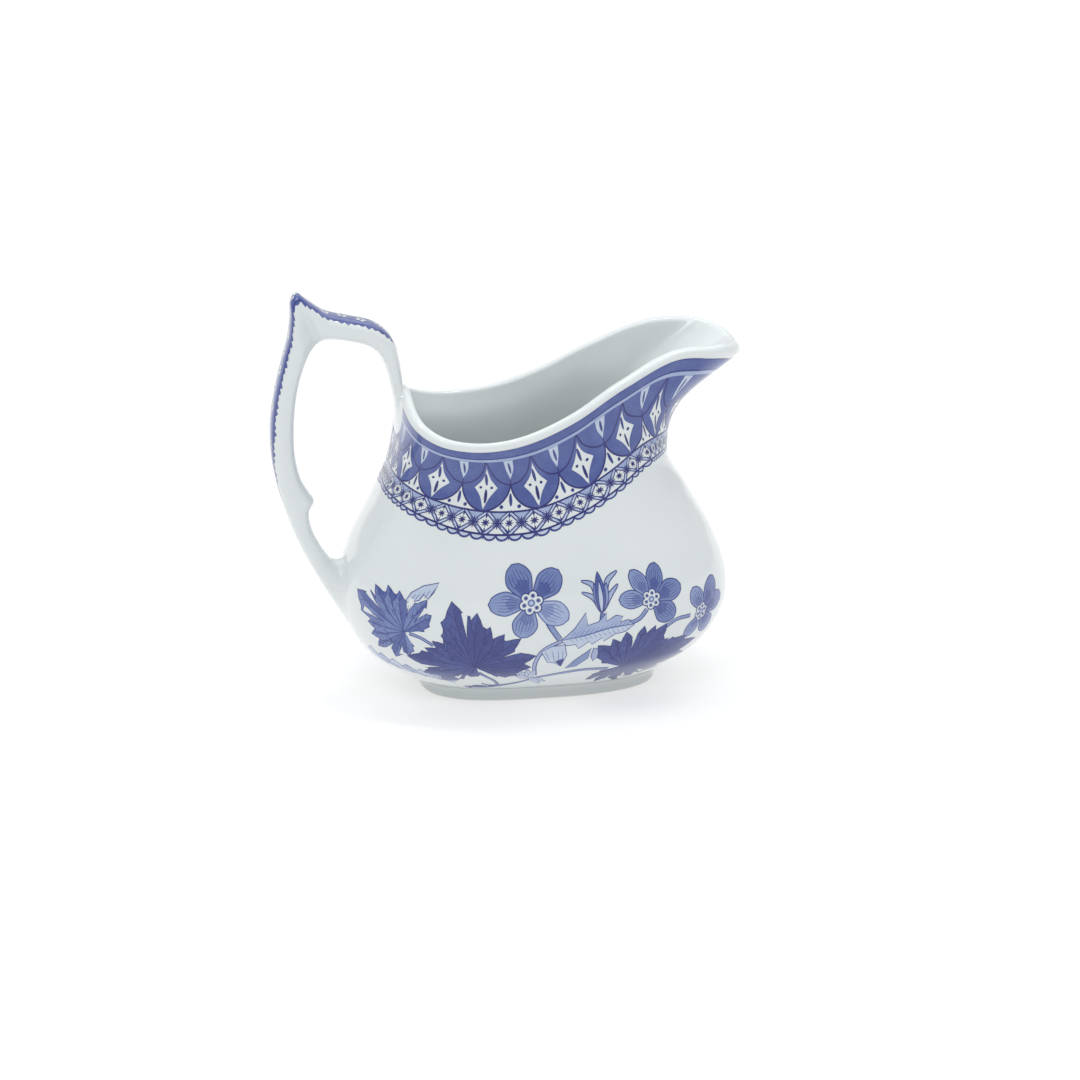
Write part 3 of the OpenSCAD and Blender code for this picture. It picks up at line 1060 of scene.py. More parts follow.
class EngravedPlate:
    """A plate of marks, each an outline with a tone; later marks lie over earlier ones."""

    def __init__(self, seed: int, window: tuple[float, float] = (-math.inf, math.inf)) -> None:
        """Start an empty plate.

        Args:
            seed: Starts the small chances of the hand.
            window: Where the plate starts and ends along itself; marks past it are trimmed.
        """
        self.window = window
        self.marks: list[tuple[np.ndarray, Tone]] = []
        self.chance = random.Random(seed)

    def fill(self, outline: np.ndarray, tone: Tone) -> None:
        """Add an outline filled with a tone.

        Args:
            outline: Corners of a closed outline.
            tone: The tone to fill it with.
        """
        p = np.asarray(outline, float)
        keep = np.linalg.norm(p - np.roll(p, 1, axis=0), axis=1) > 0.01
        if keep.sum() > 2:
            self.marks.append((p[keep], tone))

    def stroke(
        self, points: Sequence[Point] | np.ndarray, width: float, tone: Tone, taper: bool = True
    ) -> None:
        """Cut a line, thinner towards its ends if it tapers.

        Args:
            points: The line's points.
            width: Its full width.
            tone: Its tone.
            taper: Whether it thins towards its ends.
        """
        line = np.asarray(points, float)
        if len(line) < 6:
            line = smooth_line(line, 5 if len(line) == 2 else 10)
        u = np.linspace(0, 1, len(line))
        half = np.full(len(line), width / 2)
        if taper:
            half *= 0.25 + 0.75 * np.sin(math.pi * np.clip(u * 0.9 + 0.05, 0, 1)) ** 0.7
        self.fill(ribbon(line, half), tone)

    def outline(self, outline: np.ndarray, width: float, tone: Tone) -> None:
        """Cut a line round an outline."""
        left, right = edges_of(outline, np.full(len(outline), width / 2), True)
        self.fill(np.vstack([left, left[:1], right[:1], right[::-1]]), tone)

    def divided(self, outline: np.ndarray, longest: float) -> np.ndarray:
        """The outline with its long sides divided, so that they bend with the surface.

        Args:
            outline: Corners of a closed outline.
            longest: Longest side to leave.

        Returns:
            The outline with more corners.
        """
        ahead = np.roll(outline, -1, axis=0)
        counts = np.ceil(np.linalg.norm(ahead - outline, axis=1) / longest).astype(int)
        sides = zip(outline, ahead, np.maximum(counts, 1))
        return np.vstack([a + (b - a) * (np.arange(n) / n)[:, None] for a, b, n in sides])

    def bordered(self, outline: np.ndarray, tone: Tone, width: float, line: Tone) -> None:
        """Fill an outline with one tone and cut a line round it in another."""
        self.fill(outline, tone)
        self.outline(outline, width, line)

    def mesh(self, name: str, places: Places, lift: float, grid: float) -> bpy.types.Object:
        """Lay the plate on a surface.

        Args:
            name: The piece's name.
            places: Gives surface points and normals for plate points, lifted off it.
            lift: Distance between the ink and the glaze under it.
            grid: Longest side of a facet, so that the ink bends with the surface.

        Returns:
            The print, with its tones in the face attribute "ink".
        """
        verts: list[Vector] = []
        edges: list[tuple[int, int]] = []
        for outline, _ in self.marks:
            cut = self.divided(outline, grid)
            start, count = len(verts), len(cut)
            verts += [Vector((float(x), float(y))) for x, y in cut]
            edges += [(start + k, start + (k + 1) % count) for k in range(count)]
        drawn = np.vstack([outline for outline, _ in self.marks])
        low, high = drawn.min(0), drawn.max(0)
        for x in filter(math.isfinite, self.window):
            cut = [Vector((x, float(y))) for y in np.linspace(low[1] - 1, high[1] + 1, 40)]
            edges += [(len(verts) + k, len(verts) + k + 1) for k in range(len(cut) - 1)]
            verts += cut
        for i, x in enumerate(np.arange(low[0], high[0], grid)):
            shift = grid / 2 if i % 2 else 0.0
            rise = np.arange(low[1] + shift, high[1], grid)
            verts += [Vector((float(x) + GRID_NUDGE, float(y))) for y in rise]
        out = delaunay_2d_cdt(verts, edges, [], 0, SNAP, False)
        flat, tris = np.array([(v.x, v.y) for v in out[0]]), np.array(out[2])
        middles = flat[tris].mean(1)
        top = np.full(len(tris), -1)
        for number, (outline, _) in enumerate(self.marks):
            near = np.flatnonzero(((middles >= outline.min(0)) & (middles <= outline.max(0))).all(1))
            top[near[inside(middles[near], outline)]] = number
        top[(middles[:, 0] < self.window[0]) | (middles[:, 0] > self.window[1])] = -1
        inked = [k for k in np.flatnonzero(top >= 0) if self.marks[top[k]][1] is not Tone.BARE]
        LOG.info("%s: %d marks, %d facets", name, len(self.marks), len(inked))
        used, corners = np.unique(tris[inked], return_inverse=True)
        corners = corners.reshape(-1, 3)
        points, normals = places(flat[used], lift)
        a, b, c = (points[corners[:, k]] for k in range(3))
        if (np.cross(b - a, c - a) * normals[corners[:, 0]]).sum() < 0:
            corners = corners[:, ::-1]
        piece = new_object(name, points, corners.tolist())
        ink = piece.data.attributes.new(INK, "FLOAT", "FACE")
        ink.data.foreach_set("value", [self.marks[top[k]][1].value for k in inked])
        piece.data.normals_split_custom_set_from_vertices(normals.tolist())
        return piece


def bent_normals(points: np.ndarray, right: np.ndarray, up: np.ndarray) -> np.ndarray:
    """Normals from neighbouring points to the right and above."""
    return unit(np.cross(right - points, up - points))


@dataclass
class FlankMap:
    """Plate on one flank: along the belly from its middle towards the spout, and up from the foot."""

    form: JugForm
    side: int = -1
    level: float = 0.40

    def __post_init__(self) -> None:
        """Measure the belly and the flank's middle line."""
        f = self.form
        self.angles = np.linspace(-180, 0, 721)
        ring = f.wall_points(np.full_like(self.angles, self.level), self.angles)
        along = arc_lengths(ring)
        self.along = along - np.interp(-90, self.angles, along)
        self.shares = np.linspace(0.05, 1, 700)
        line = f.wall_points(self.shares, np.full_like(self.shares, -90.0))
        up = arc_lengths(line)
        self.up = up - np.interp(f.seat(), self.shares, up)

    def raw(self, p: np.ndarray, lift: float) -> np.ndarray:
        """Surface points for plate points.

        Args:
            p: Plate points, in millimetres.
            lift: Distance off the surface, in millimetres.

        Returns:
            Points in millimetres.
        """
        angle = np.interp(p[:, 0], self.along, self.angles)
        share = np.interp(p[:, 1], self.up, self.shares)
        out = self.form.outer(share, angle, lift)
        out[:, 1] *= -self.side
        return out

    def __call__(self, p: np.ndarray, lift: float) -> tuple[np.ndarray, np.ndarray]:
        """Surface points and outward normals for plate points.

        Args:
            p: Plate points, in millimetres.
            lift: Distance off the surface, in millimetres.

        Returns:
            Points, and a normal at each.
        """
        here = self.raw(p, lift)
        normal = bent_normals(here, self.raw(p + [0.2, 0], lift), self.raw(p + [0, 0.2], lift))
        return here, normal * -self.side


@dataclass
class BorderMap:
    """Plate of the border: along the rim from under the handle, and down from its top edge."""

    form: JugForm
    plate_length: float
    depth: float = 25.8
    top: float = 0.993
    angles: tuple = (0, 26, 44, 62, 79, 93, 107, 121, 133, 150, 180)
    lows: tuple = (0.800, 0.800, 0.782, 0.738, 0.690, 0.655, 0.648, 0.662, 0.686, 0.714, 0.732)
    level: float = 0.86
    most_lean: float = 0.6
    least_width: float = 0.45

    def __post_init__(self) -> None:
        """Measure the band round the neck and how far the pattern leans to stay square to the rim."""
        f = self.form
        self.turn = np.linspace(-180, 180, 1441)
        flat = np.ones_like(self.turn)
        self.along = arc_lengths(f.wall_points(flat * self.level, self.turn))
        self.lower = SmoothTable(self.angles, self.lows)
        rim = f.wall_points(flat, self.turn)
        fall = f.wall_points(self.lower(np.abs(self.turn))[:, 0], self.turn) - rim
        lean = -(fall * unit(np.gradient(rim, axis=0))).sum(-1)
        room = np.minimum(np.abs(self.along - self.length() / 2), self.along)
        room = np.minimum(room, self.length() - self.along) * self.most_lean
        even = np.diff(self.along)
        steps = np.diff(self.along + np.clip(lean, -room, room))
        moved = np.concatenate([[0], np.cumsum(np.maximum(steps, self.least_width * even))])
        self.lean = moved * self.length() / moved[-1] - self.along

    def length(self) -> float:
        """Length of the band right round the neck."""
        return float(self.along[-1])

    def raw(self, p: np.ndarray, lift: float) -> np.ndarray:
        """Surface points for plate points.

        Args:
            p: Plate points, in millimetres.
            lift: Distance off the surface, in millimetres.

        Returns:
            Points in millimetres.
        """
        share = -p[:, 1] / self.depth
        x = p[:, 0] * self.length() / self.plate_length % self.length()
        x = (x + np.interp(x, self.along, self.lean) * share) % self.length()
        angle = np.interp(x, self.along, self.turn)
        s = self.top - (self.top - self.lower(np.abs(angle))[:, 0]) * share
        return self.form.outer(s, angle, lift)

    def __call__(self, p: np.ndarray, lift: float) -> tuple[np.ndarray, np.ndarray]:
        """Surface points and outward normals for plate points."""
        here = self.raw(p, lift)
        return here, bent_normals(here, self.raw(p + [0.2, 0], lift), self.raw(p + [0, 0.2], lift))


@dataclass
class StrapMap:
    """Plate on the strap's outer face: along it from the rim, and across it."""

    strap: StrapForm
    first: float = 0.9
    last: float = 18.0
    face: float = 56.0

    def __post_init__(self) -> None:
        """Measure the outer face's middle line."""
        self.numbers = np.linspace(self.first, self.last, 400)
        self.along = arc_lengths(self.strap.points(self.numbers, np.zeros_like(self.numbers)))

    def length(self) -> float:
        """Length of the printed face."""
        return float(self.along[-1])

    def raw(self, p: np.ndarray, lift: float) -> np.ndarray:
        """Surface points for plate points; across runs from -1 to 1 over the face."""
        i = np.interp(p[:, 0], self.along, self.numbers)
        return self.strap.points(i, p[:, 1] / 5.0 * self.face, lift)

    def __call__(self, p: np.ndarray, lift: float) -> tuple[np.ndarray, np.ndarray]:
        """Surface points and outward normals for plate points.

        Args:
            p: Plate points, in millimetres.
            lift: Distance off the surface, in millimetres.

        Returns:
            Points, and a normal at each.
        """
        here = self.raw(p, lift)
        normal = bent_normals(here, self.raw(p + [0.1, 0], lift), self.raw(p + [0, 0.1], lift))
        return here, -normal


# ---------------------------------------------------------------- the prints


@dataclass
class BorderPrint:
    """Lattice of overlapping circles under a line, over a crossed band with a looped edge."""

    form: JugForm
    seed: int = 11
    periods: int = 20
    period: float = 14.2
    phase: float = 0.09
    # depths below the top of the plate
    line_low: float = 3.1
    pale_low: float = 4.0
    node_low: float = 12.2
    lattice_low: float = 19.4
    cross_low: float = 24.7
    loop_depth: float = 1.2
    # how many crosses and loops go to a number of periods
    crosses: tuple = (5, 2)
    loops_a_period: int = 5
    loop_half: float = 0.48
    # widths of the cut lines
    edge: float = 0.20
    arc: float = 0.48
    stalk: float = 0.45
    loop_line: float = 0.46
    star_line: float = 0.36
    cross_outer: float = 1.05
    cross_inner: float = 0.42
    # sizes of the small marks
    dot: float = 0.42
    low_dot: float = 0.50
    dot_reach: float = 1.55
    low_dot_reach: float = 2.3
    star: float = 1.45
    small_star: float = 0.95
    low_star: float = 1.3
    band_steps: int = 401
    lift: float = 0.045
    grid: float = 1.0

    def both(self, plate: EngravedPlate, x: float, points: Sequence[Point]) -> None:
        """Cut one arc of a circle and its mirror image about x.

        Args:
            plate: The plate to draw on.
            x: Middle of the pair.
            points: The right-hand arc, from the middle.
        """
        for side in (-1, 1):
            line = smooth_line([(x + side * dx, y) for dx, y in points], 14)
            plate.stroke(line, self.arc, Tone.LINE, False)

    def mirrored(self, x: float, points: Sequence[Point]) -> np.ndarray:
        """Close a smooth right-hand side with its mirror image about x."""
        side = smooth_line(points, 12)
        return np.vstack([side + [x, 0], (side * [-1, 1])[::-1] + [x, 0]])

    def diamond(self, plate: EngravedPlate, x: float) -> None:
        """Draw one whole diamond with hollow sides, its dashes and its dots.

        Args:
            plate: The plate to draw on.
            x: The diamond's middle.
        """
        mid = -self.node_low - 0.8
        upper = smooth_line([(0.0, -6.3), (1.35, -10.4), (3.4, mid)], 8)
        lower = smooth_line([(3.4, mid), (1.45, -15.6), (0.1, -19.0)], 8)
        side = np.vstack([upper, lower[1:]])
        shape = np.vstack([side + [x, 0], (side * [-1, 1])[::-1][1:-1] + [x, 0]])
        plate.bordered(shape, Tone.BARE, self.edge, Tone.FULL)
        plate.stroke([(x - 0.35, -8.4), (x + 0.1, -12.2)], 0.90, Tone.DEEP)
        plate.stroke([(x + 0.05, -13.5), (x + 0.25, -17.3)], 0.85, Tone.LINE)
        for dx in (-self.dot_reach, self.dot_reach):
            plate.fill(circle((x + dx, mid + 0.1), self.dot, 9), Tone.LINE)

    def node(self, plate: EngravedPlate, x: float, half: float) -> None:
        """Draw what surrounds a crossing of circles: the fields above and below it, and its arcs.

        Args:
            plate: The plate to draw on.
            x: Where the circles cross.
            half: Half the distance between crossings.
        """
        top, low, mid = -self.pale_low, -self.lattice_low, -self.node_low
        lens = self.mirrored(x, [(1.55, top), (1.25, -7.2), (0.0, -10.7)])
        plate.bordered(lens, Tone.WASH, self.edge, Tone.FULL)
        plate.stroke([(x - 0.1, top - 0.9), (x + 0.25, top - 4.6)], 0.75, Tone.DEEP)
        arc = [(0.0, mid), (0.75, -14.7), (2.1, -16.7), (4.3, -18.5), (half, low)]
        plate.fill(self.mirrored(x, [(0.0, mid - 0.9)] + arc[1:]), Tone.BARE)
        plate.stroke([(x - 0.1, -14.7), (x + 0.2, -18.0)], 0.85, Tone.DEEP)
        for dx in (-self.low_dot_reach, self.low_dot_reach):
            plate.fill(circle((x + dx, low + 1.25), self.low_dot, 9), Tone.DEEP)
        self.both(plate, x, arc)
        self.both(plate, x, [(0.0, mid), (2.4, -11.5), (4.9, -9.3), (half, top)])
        plate.stroke([(x, mid), (x, mid + 1.7)], self.stalk, Tone.LINE)
        plate.fill(circle((x, mid), self.low_dot, 9), Tone.LINE)

    def draw_star(self, plate: EngravedPlate, centre: Point, radius: float) -> None:
        """Draw a small four-line star.

        Args:
            plate: The plate to draw on.
            centre: The star's middle.
            radius: Its reach.
        """
        x, y = centre
        for turn in (0, 45, 90, 135):
            a = math.radians(turn)
            dx, dy = radius * math.cos(a), radius * math.sin(a)
            plate.stroke([(x - dx, y - dy), (x + dx, y + dy)], self.star_line, Tone.LINE)

    def crossed_band(self, plate: EngravedPlate, start: float, period: float, count: int) -> None:
        """Draw the double-lined crosses with a star on each crossing and in each field between.

        Args:
            plate: The plate to draw on.
            start: Where the band starts.
            period: Distance between crosses.
            count: How many crosses there are.
        """
        top, low = -self.lattice_low, -self.cross_low
        mid, half = (top + low) / 2, period / 2
        for k in range(count):
            x = start + (k + 0.5) * period
            plate.fill(np.array([(x - half, top), (x + half, top), (x, mid)]), Tone.PALE)
            for slope in (-1, 1):
                ends = [(x - half, mid - slope * (top - mid)), (x + half, mid + slope * (top - mid))]
                plate.stroke(ends, self.cross_outer, Tone.DEEP, False)
                plate.stroke(ends, self.cross_inner, Tone.WASH, False)
            self.draw_star(plate, (x, mid), self.star)
            self.draw_star(plate, (x + half, mid), self.small_star)
            self.draw_star(plate, (x + half, low + 0.2), self.low_star)
            plate.stroke([(x + half, top), (x + half, top - 1.5)], self.stalk, Tone.LINE)

    def loops(self, plate: EngravedPlate, start: float, period: float, count: int) -> None:
        """Draw the looped edge under the band.

        Args:
            plate: The plate to draw on.
            start: Where the edge starts.
            period: Distance between loops.
            count: How many loops there are.
        """
        a = np.linspace(0, math.pi, 9)
        for k in range(count):
            x = start + (k + 0.5) * period
            y = -self.cross_low - self.loop_depth * np.sin(a)
            arc = np.stack([x + self.loop_half * period * np.cos(a), y], -1)
            plate.fill(arc, Tone.WASH)
            plate.stroke(arc, self.loop_line, Tone.DEEP, False)

    def band(self, plate: EngravedPlate, high: float, low: float, tone: Tone) -> None:
        """Fill a band right round the neck between two depths.

        Args:
            plate: The plate to draw on.
            high: Depth of the band's upper edge.
            low: Depth of its lower edge.
            tone: Its tone.
        """
        x = np.linspace(*plate.window, self.band_steps)
        upper = np.stack([x, np.full_like(x, -high)], -1)
        lower = np.stack([x[::-1], np.full_like(x, -low)], -1)
        plate.fill(np.vstack([upper, lower]), tone)

    def build(self, material: bpy.types.Material) -> bpy.types.Object:
        """Make the border and dress it.

        Args:
            material: The cobalt ink.

        Returns:
            The border.
        """
        period = self.period
        length = period * self.periods
        places = BorderMap(self.form, length)
        middle = float(np.interp(-90, places.turn, places.along)) * length / places.length()
        start = (middle / period + self.phase) % 1 * period
        plate = EngravedPlate(self.seed, (start, start + length))
        self.band(plate, self.pale_low, self.lattice_low, Tone.FULL)
        for k in range(self.periods + 1):
            self.diamond(plate, start + (k + 0.5) * period)
            self.node(plate, start + k * period, period / 2)
        crosses, each = self.crosses
        cross = period * each / crosses
        self.crossed_band(plate, start - cross, cross, self.periods * crosses // each + 1)
        self.band(plate, self.lattice_low - 0.24, self.lattice_low + 0.24, Tone.LINE)
        count = self.loops_a_period
        self.loops(plate, start, period / count, self.periods * count)
        self.band(plate, self.cross_low - 0.22, self.cross_low + 0.26, Tone.LINE)
        self.band(plate, 0.0, self.line_low, Tone.FULL)
        self.band(plate, 0.0, 0.25, Tone.DEEP)
        self.band(plate, self.line_low - 0.5, self.line_low, Tone.DEEP)
        self.band(plate, self.line_low, self.pale_low, Tone.PALE)
        piece = plate.mesh("border_print_blue", places, self.lift, self.grid)
        return dress(piece, material, Slot.PRINT, "border_print")


@dataclass(frozen=True)
class Leaf:
    """A palmate leaf: its root, its lobes as tip and half width, and its tones."""

    root: Point
    lobes: tuple
    tone: Tone
    shade: Tone
    vein: Tone = Tone.LINE


@dataclass(frozen=True)
class Blossom:
    """An open five-petalled flower: its centre, petals as tip, half width and tone, and ring size."""

    centre: Point
    petals: tuple
    ring: float
    squash: float = 1.0


@dataclass
class SprayPrint:
    """Flowers, a bud, cut leaves and stems on one flank."""

    form: JugForm
    side: int
    node: str
    lift: float = 0.035
    grid: float = 1.1
    seed: int = 23
    heart_reach: float = 0.46
    notch_gap: float = 0.335
    # widths of the cut lines
    lobe_edge: float = 0.26
    notch_edge: float = 0.24
    vein: float = 0.34
    side_vein: float = 0.17
    petal_edge: float = 0.30
    petal_line: float = 0.20
    stem_under: float = 0.24
    stem_over: float = 0.34
    leaves: tuple = (
        Leaf((-42.0, 26.8), (
            ((-53.0, 19.6), 2.6), ((-47.6, 16.8), 2.6), ((-42.6, 18.2), 2.6), ((-54.2, 23.6), 2.8),
            ((-54.6, 27.6), 2.9), ((-60.0, 35.8), 4.4), ((-52.8, 39.0), 2.7), ((-48.3, 39.6), 2.5),
            ((-44.2, 38.6), 2.6), ((-35.4, 37.0), 2.7), ((-33.8, 32.6), 3.0),
        ), Tone.FULL, Tone.MID, Tone.DEEP),
        Leaf((-22.7, 15.1), (
            ((-25.8, 9.6), 2.8), ((-37.6, 6.2), 3.2), ((-41.4, 10.6), 3.2), ((-43.2, 18.0), 4.2),
            ((-36.6, 22.0), 3.0), ((-34.0, 24.6), 2.8), ((-9.8, 10.2), 3.4), ((-5.4, 14.2), 3.6),
            ((-4.0, 19.0), 3.8), ((-8.6, 25.6), 3.3), ((-13.2, 27.2), 3.0), ((-17.2, 29.6), 3.2),
            ((-30.6, 26.4), 3.4), ((-30.2, 31.8), 3.6), ((-21.0, 33.8), 3.6), ((-28.4, 37.0), 5.0),
        ), Tone.DEEP, Tone.DARK, Tone.LINE),
        Leaf((25.6, 10.9), (
            ((30.2, 1.0), 3.0), ((21.8, 1.2), 3.0), ((17.0, 3.2), 3.2), ((37.0, 2.2), 3.4),
            ((46.0, 4.4), 3.8), ((52.0, 10.6), 4.0), ((50.6, 17.0), 4.2), ((44.6, 19.8), 3.6),
            ((37.2, 20.4), 3.2), ((14.2, 21.4), 3.6), ((18.4, 23.2), 3.0), ((22.2, 25.2), 3.2),
            ((27.6, 26.4), 3.0), ((31.2, 26.0), 3.0), ((35.0, 26.0), 4.0),
        ), Tone.DEEP, Tone.DARK, Tone.LINE),
    )
    blossoms: tuple = (
        Blossom((-5.8, 36.3), (
            ((4.8, 30.8), 3.7, Tone.PALE), ((-8.6, 25.8), 3.6, Tone.SOFT),
            ((-18.0, 36.2), 3.5, Tone.SOFT), ((-11.9, 47.4), 3.9, Tone.MID),
            ((2.4, 45.2), 3.9, Tone.MID),
        ), 3.1),
        Blossom((29.6, 34.3), (
            ((36.8, 27.2), 3.4, Tone.MID), ((19.6, 35.4), 2.7, Tone.SOFT),
            ((40.0, 37.0), 3.1, Tone.MID), ((24.4, 43.0), 2.6, Tone.SOFT),
            ((33.2, 44.0), 2.7, Tone.MID),
        ), 2.6),
        Blossom((47.6, 26.9), (
            ((43.8, 19.0), 2.6, Tone.SOFT), ((54.0, 19.4), 2.9, Tone.MID),
            ((58.0, 29.6), 3.0, Tone.MID), ((44.3, 35.0), 2.7, Tone.SOFT),
            ((54.2, 36.2), 2.8, Tone.MID),
        ), 2.5, 0.8),
    )

    def lobe_outline(self, root: Point, tip: Point, half: float) -> np.ndarray:
        """Outline of one pointed lobe with two teeth a side.

        Args:
            root: Where the lobe starts.
            tip: Its point.
            half: Its half width.

        Returns:
            The outline.
        """
        side = np.array([
            (0.0, 0.10), (0.22, 0.42), (0.42, 0.72), (0.53, 0.98), (0.57, 0.76),
            (0.66, 0.80), (0.76, 0.84), (0.79, 0.56), (0.90, 0.30),
        ]) * [1, half]
        return local(root, tip, np.vstack([side, [[1.0, 0.0]], (side * [1, -1])[::-1]]))

    def arms(self, leaf: Leaf) -> tuple[np.ndarray, np.ndarray]:
        """The leaf's lobes in turning order, and the turn from each to the next.

        Args:
            leaf: The leaf.

        Returns:
            Arms from the root to each tip, and the turns in radians.
        """
        arms = np.array([tip for tip, _ in leaf.lobes]) - np.array(leaf.root)
        turn = np.arctan2(arms[:, 1], arms[:, 0])
        order = np.argsort(turn)
        gaps = np.diff(turn[order], append=turn[order[0]] + 2 * math.pi)
        shift = -1 - int(np.argmax(gaps))
        return arms[np.roll(order, shift)], np.roll(gaps, shift)

    def heart(self, leaf: Leaf) -> np.ndarray:
        """Outline of the leaf's middle, where its lobes run together."""
        root = np.array(leaf.root)
        return np.vstack([root, root + self.arms(leaf)[0] * self.heart_reach])

    def notches(self, leaf: Leaf) -> list[np.ndarray]:
        """Outlines of the bare cuts between the lobes that stand widest apart.

        Args:
            leaf: The leaf.

        Returns:
            The outlines.
        """
        root = np.array(leaf.root)
        arms, gaps = self.arms(leaf)
        cuts = []
        for first, second, gap in zip(arms, arms[1:], gaps):
            if gap > self.notch_gap:
                way = (first + second) / 2
                side = np.array([(0.92, 0.90), (0.74, 0.42), (0.56, 0.14), (0.40, 0.0)])
                cuts.append(local(root, root + way, np.vstack([side, (side * [1, -1])[-2::-1]])))
        return cuts

    def leaf(self, plate: EngravedPlate, leaf: Leaf) -> None:
        """Draw a leaf lobe by lobe, each darker on one half, with veins.

        Args:
            plate: The plate to draw on.
            leaf: The leaf.
        """
        plate.fill(self.heart(leaf), leaf.shade)
        for tip, half in leaf.lobes:
            shape = self.lobe_outline(leaf.root, tip, half)
            plate.fill(shape, leaf.tone)
            count = len(shape) // 2
            plate.fill(np.vstack([shape[:count + 1], [leaf.root]]), leaf.shade)
            plate.stroke(shape[2:-2], self.lobe_edge, leaf.vein, False)
        for notch in self.notches(leaf):
            plate.fill(notch, Tone.BARE)
            plate.stroke(notch[1:-1], self.notch_edge, leaf.vein)
        for tip, half in leaf.lobes:
            end = local(leaf.root, tip, [(0.86, 0.0)])[0]
            plate.stroke([leaf.root, tuple(end)], self.vein, leaf.vein)
            for k in (0.42, 0.60, 0.76):
                for sign in (1, -1):
                    vein = local(leaf.root, tip, [(k, 0.0), (k + 0.13, sign * half * 0.40)])
                    plate.stroke(vein, self.side_vein, leaf.vein)

    def petal(self, plate: EngravedPlate, centre: Point, tip: Point, half: float, tone: Tone) -> None:
        """Draw a rounded petal with fine engraved lines along it.

        Args:
            plate: The plate to draw on.
            centre: The flower's middle.
            tip: The petal's end.
            half: Its half width.
            tone: Its tone.
        """
        u = np.linspace(0, 1, 17)
        width = half * np.sin(math.pi * u**1.25) ** 0.5 * (0.5 + 0.5 * np.clip(u * 1.7, 0, 1))
        shape = blade(centre, tip, u, width)
        plate.fill(shape, tone)
        inner = {Tone.PALE: Tone.SOFT, Tone.SOFT: Tone.MID, Tone.MID: Tone.FULL}[tone]
        line = Tone.FULL if tone is Tone.PALE else Tone.DEEP
        heart = [(0, 0.6), (0.5, half * 0.55), (0.62, 0), (0.5, -half * 0.55), (0, -0.6)]
        plate.fill(local(centre, tip, heart), inner)
        plate.outline(shape, self.petal_edge, line)
        for k in (-0.66, -0.4, -0.14, 0.14, 0.4, 0.66):
            start, end = 0.30 + 0.08 * abs(k), 0.93 - 0.16 * abs(k)
            end -= 0.12 * plate.chance.random()
            middle = ((start + end) / 2, k * half * 0.98)
            cut = [(start, k * half * 0.55), middle, (end, k * half * 0.86)]
            plate.stroke(local(centre, tip, cut), self.petal_line, line)

    def spot(self, flower: Blossom, turn: float, share: float, radius: float) -> np.ndarray:
        """A small disc at a share of the flower ring's radius.

        Args:
            flower: The flower.
            turn: Radians round the ring.
            share: Share of the ring's radius out from the middle.
            radius: The disc's radius as a share of the ring's.

        Returns:
            The outline.
        """
        x = flower.centre[0] + flower.ring * share * math.cos(turn) * flower.squash
        y = flower.centre[1] + flower.ring * share * math.sin(turn)
        return circle((x, y), flower.ring * radius, 12)

    def blossom(self, plate: EngravedPlate, flower: Blossom) -> None:
        """Draw a flower: its petals, then the scalloped ring and stamens.

        Args:
            plate: The plate to draw on.
            flower: The flower.
        """
        for tip, half, tone in flower.petals:
            self.petal(plate, flower.centre, tip, half, tone)
        around = [2 * math.pi * (k + 0.3) / 6 for k in range(6)]
        for grow, tone in ((0.12, Tone.DEEP), (0.0, Tone.BARE)):
            for turn in around:
                plate.fill(self.spot(flower, turn, 0.72, 0.37 + grow), tone)
            plate.fill(self.spot(flower, 0.0, 0.0, 0.80 + grow), tone)
        for turn in around:
            plate.fill(self.spot(flower, turn, 0.68, 0.22), Tone.SOFT)
            plate.fill(self.spot(flower, turn, 0.68, 0.13), Tone.LINE)
        plate.fill(self.spot(flower, 0.0, 0.0, 0.36), Tone.MID)
        plate.fill(self.spot(flower, 0.0, 0.0, 0.17), Tone.WASH)

    def stems(self, plate: EngravedPlate) -> None:
        """Draw the stems, each a toned stroke with a dark underside.

        Args:
            plate: The plate to draw on.
        """
        runs = (
            (((21.0, 10.4), (12.0, 11.0), (4.0, 9.6), (-3.5, 7.6)), 1.25, Tone.SOFT),
            (((-3.5, 7.6), (-9.8, 4.6), (-16.0, 3.0), (-25.0, 1.6), (-32.0, 1.8)), 0.8, Tone.MID),
            (((-4.0, 9.4), (-4.3, 15.5), (-2.4, 20.4), (3.2, 24.0), (9.0, 25.8)), 1.2, Tone.PALE),
            (((22.3, 27.9), (25.4, 28.9), (28.0, 31.6)), 1.25, Tone.SOFT),
            (((34.6, 24.8), (38.0, 26.6), (43.2, 26.8)), 1.1, Tone.SOFT),
            (((-40.6, 26.4), (-37.4, 25.4), (-33.8, 23.0)), 0.9, Tone.SOFT),
            (((-18.0, 2.8), (-18.6, 6.4), (-20.8, 10.0), (-22.4, 12.2)), 1.1, Tone.MID),
            (((-24.0, 4.2), (-21.6, 3.0), (-18.4, 3.0)), 0.5, Tone.DEEP),
            (((-31.0, 0.9), (-27.0, 2.6), (-23.0, 2.2)), 0.6, Tone.DEEP),
            (((14.6, 32.0), (14.4, 29.4)), 1.2, Tone.MID),
            (((-1.8, 32.0), (0.6, 27.6), (2.6, 24.6)), 1.6, Tone.SOFT),
        )
        for points, width, tone in runs:
            line = smooth_line(points, 26)
            u = np.linspace(0, 1, 26)
            plate.fill(ribbon(line, width / 2 * (1.0 - 0.35 * u)), tone)
            sides = edges_of(line, np.full(26, width / 2 * 0.92))
            for side, cut in zip(sides, (self.stem_under, self.stem_over)):
                plate.stroke(side, cut, Tone.DEEP, False)

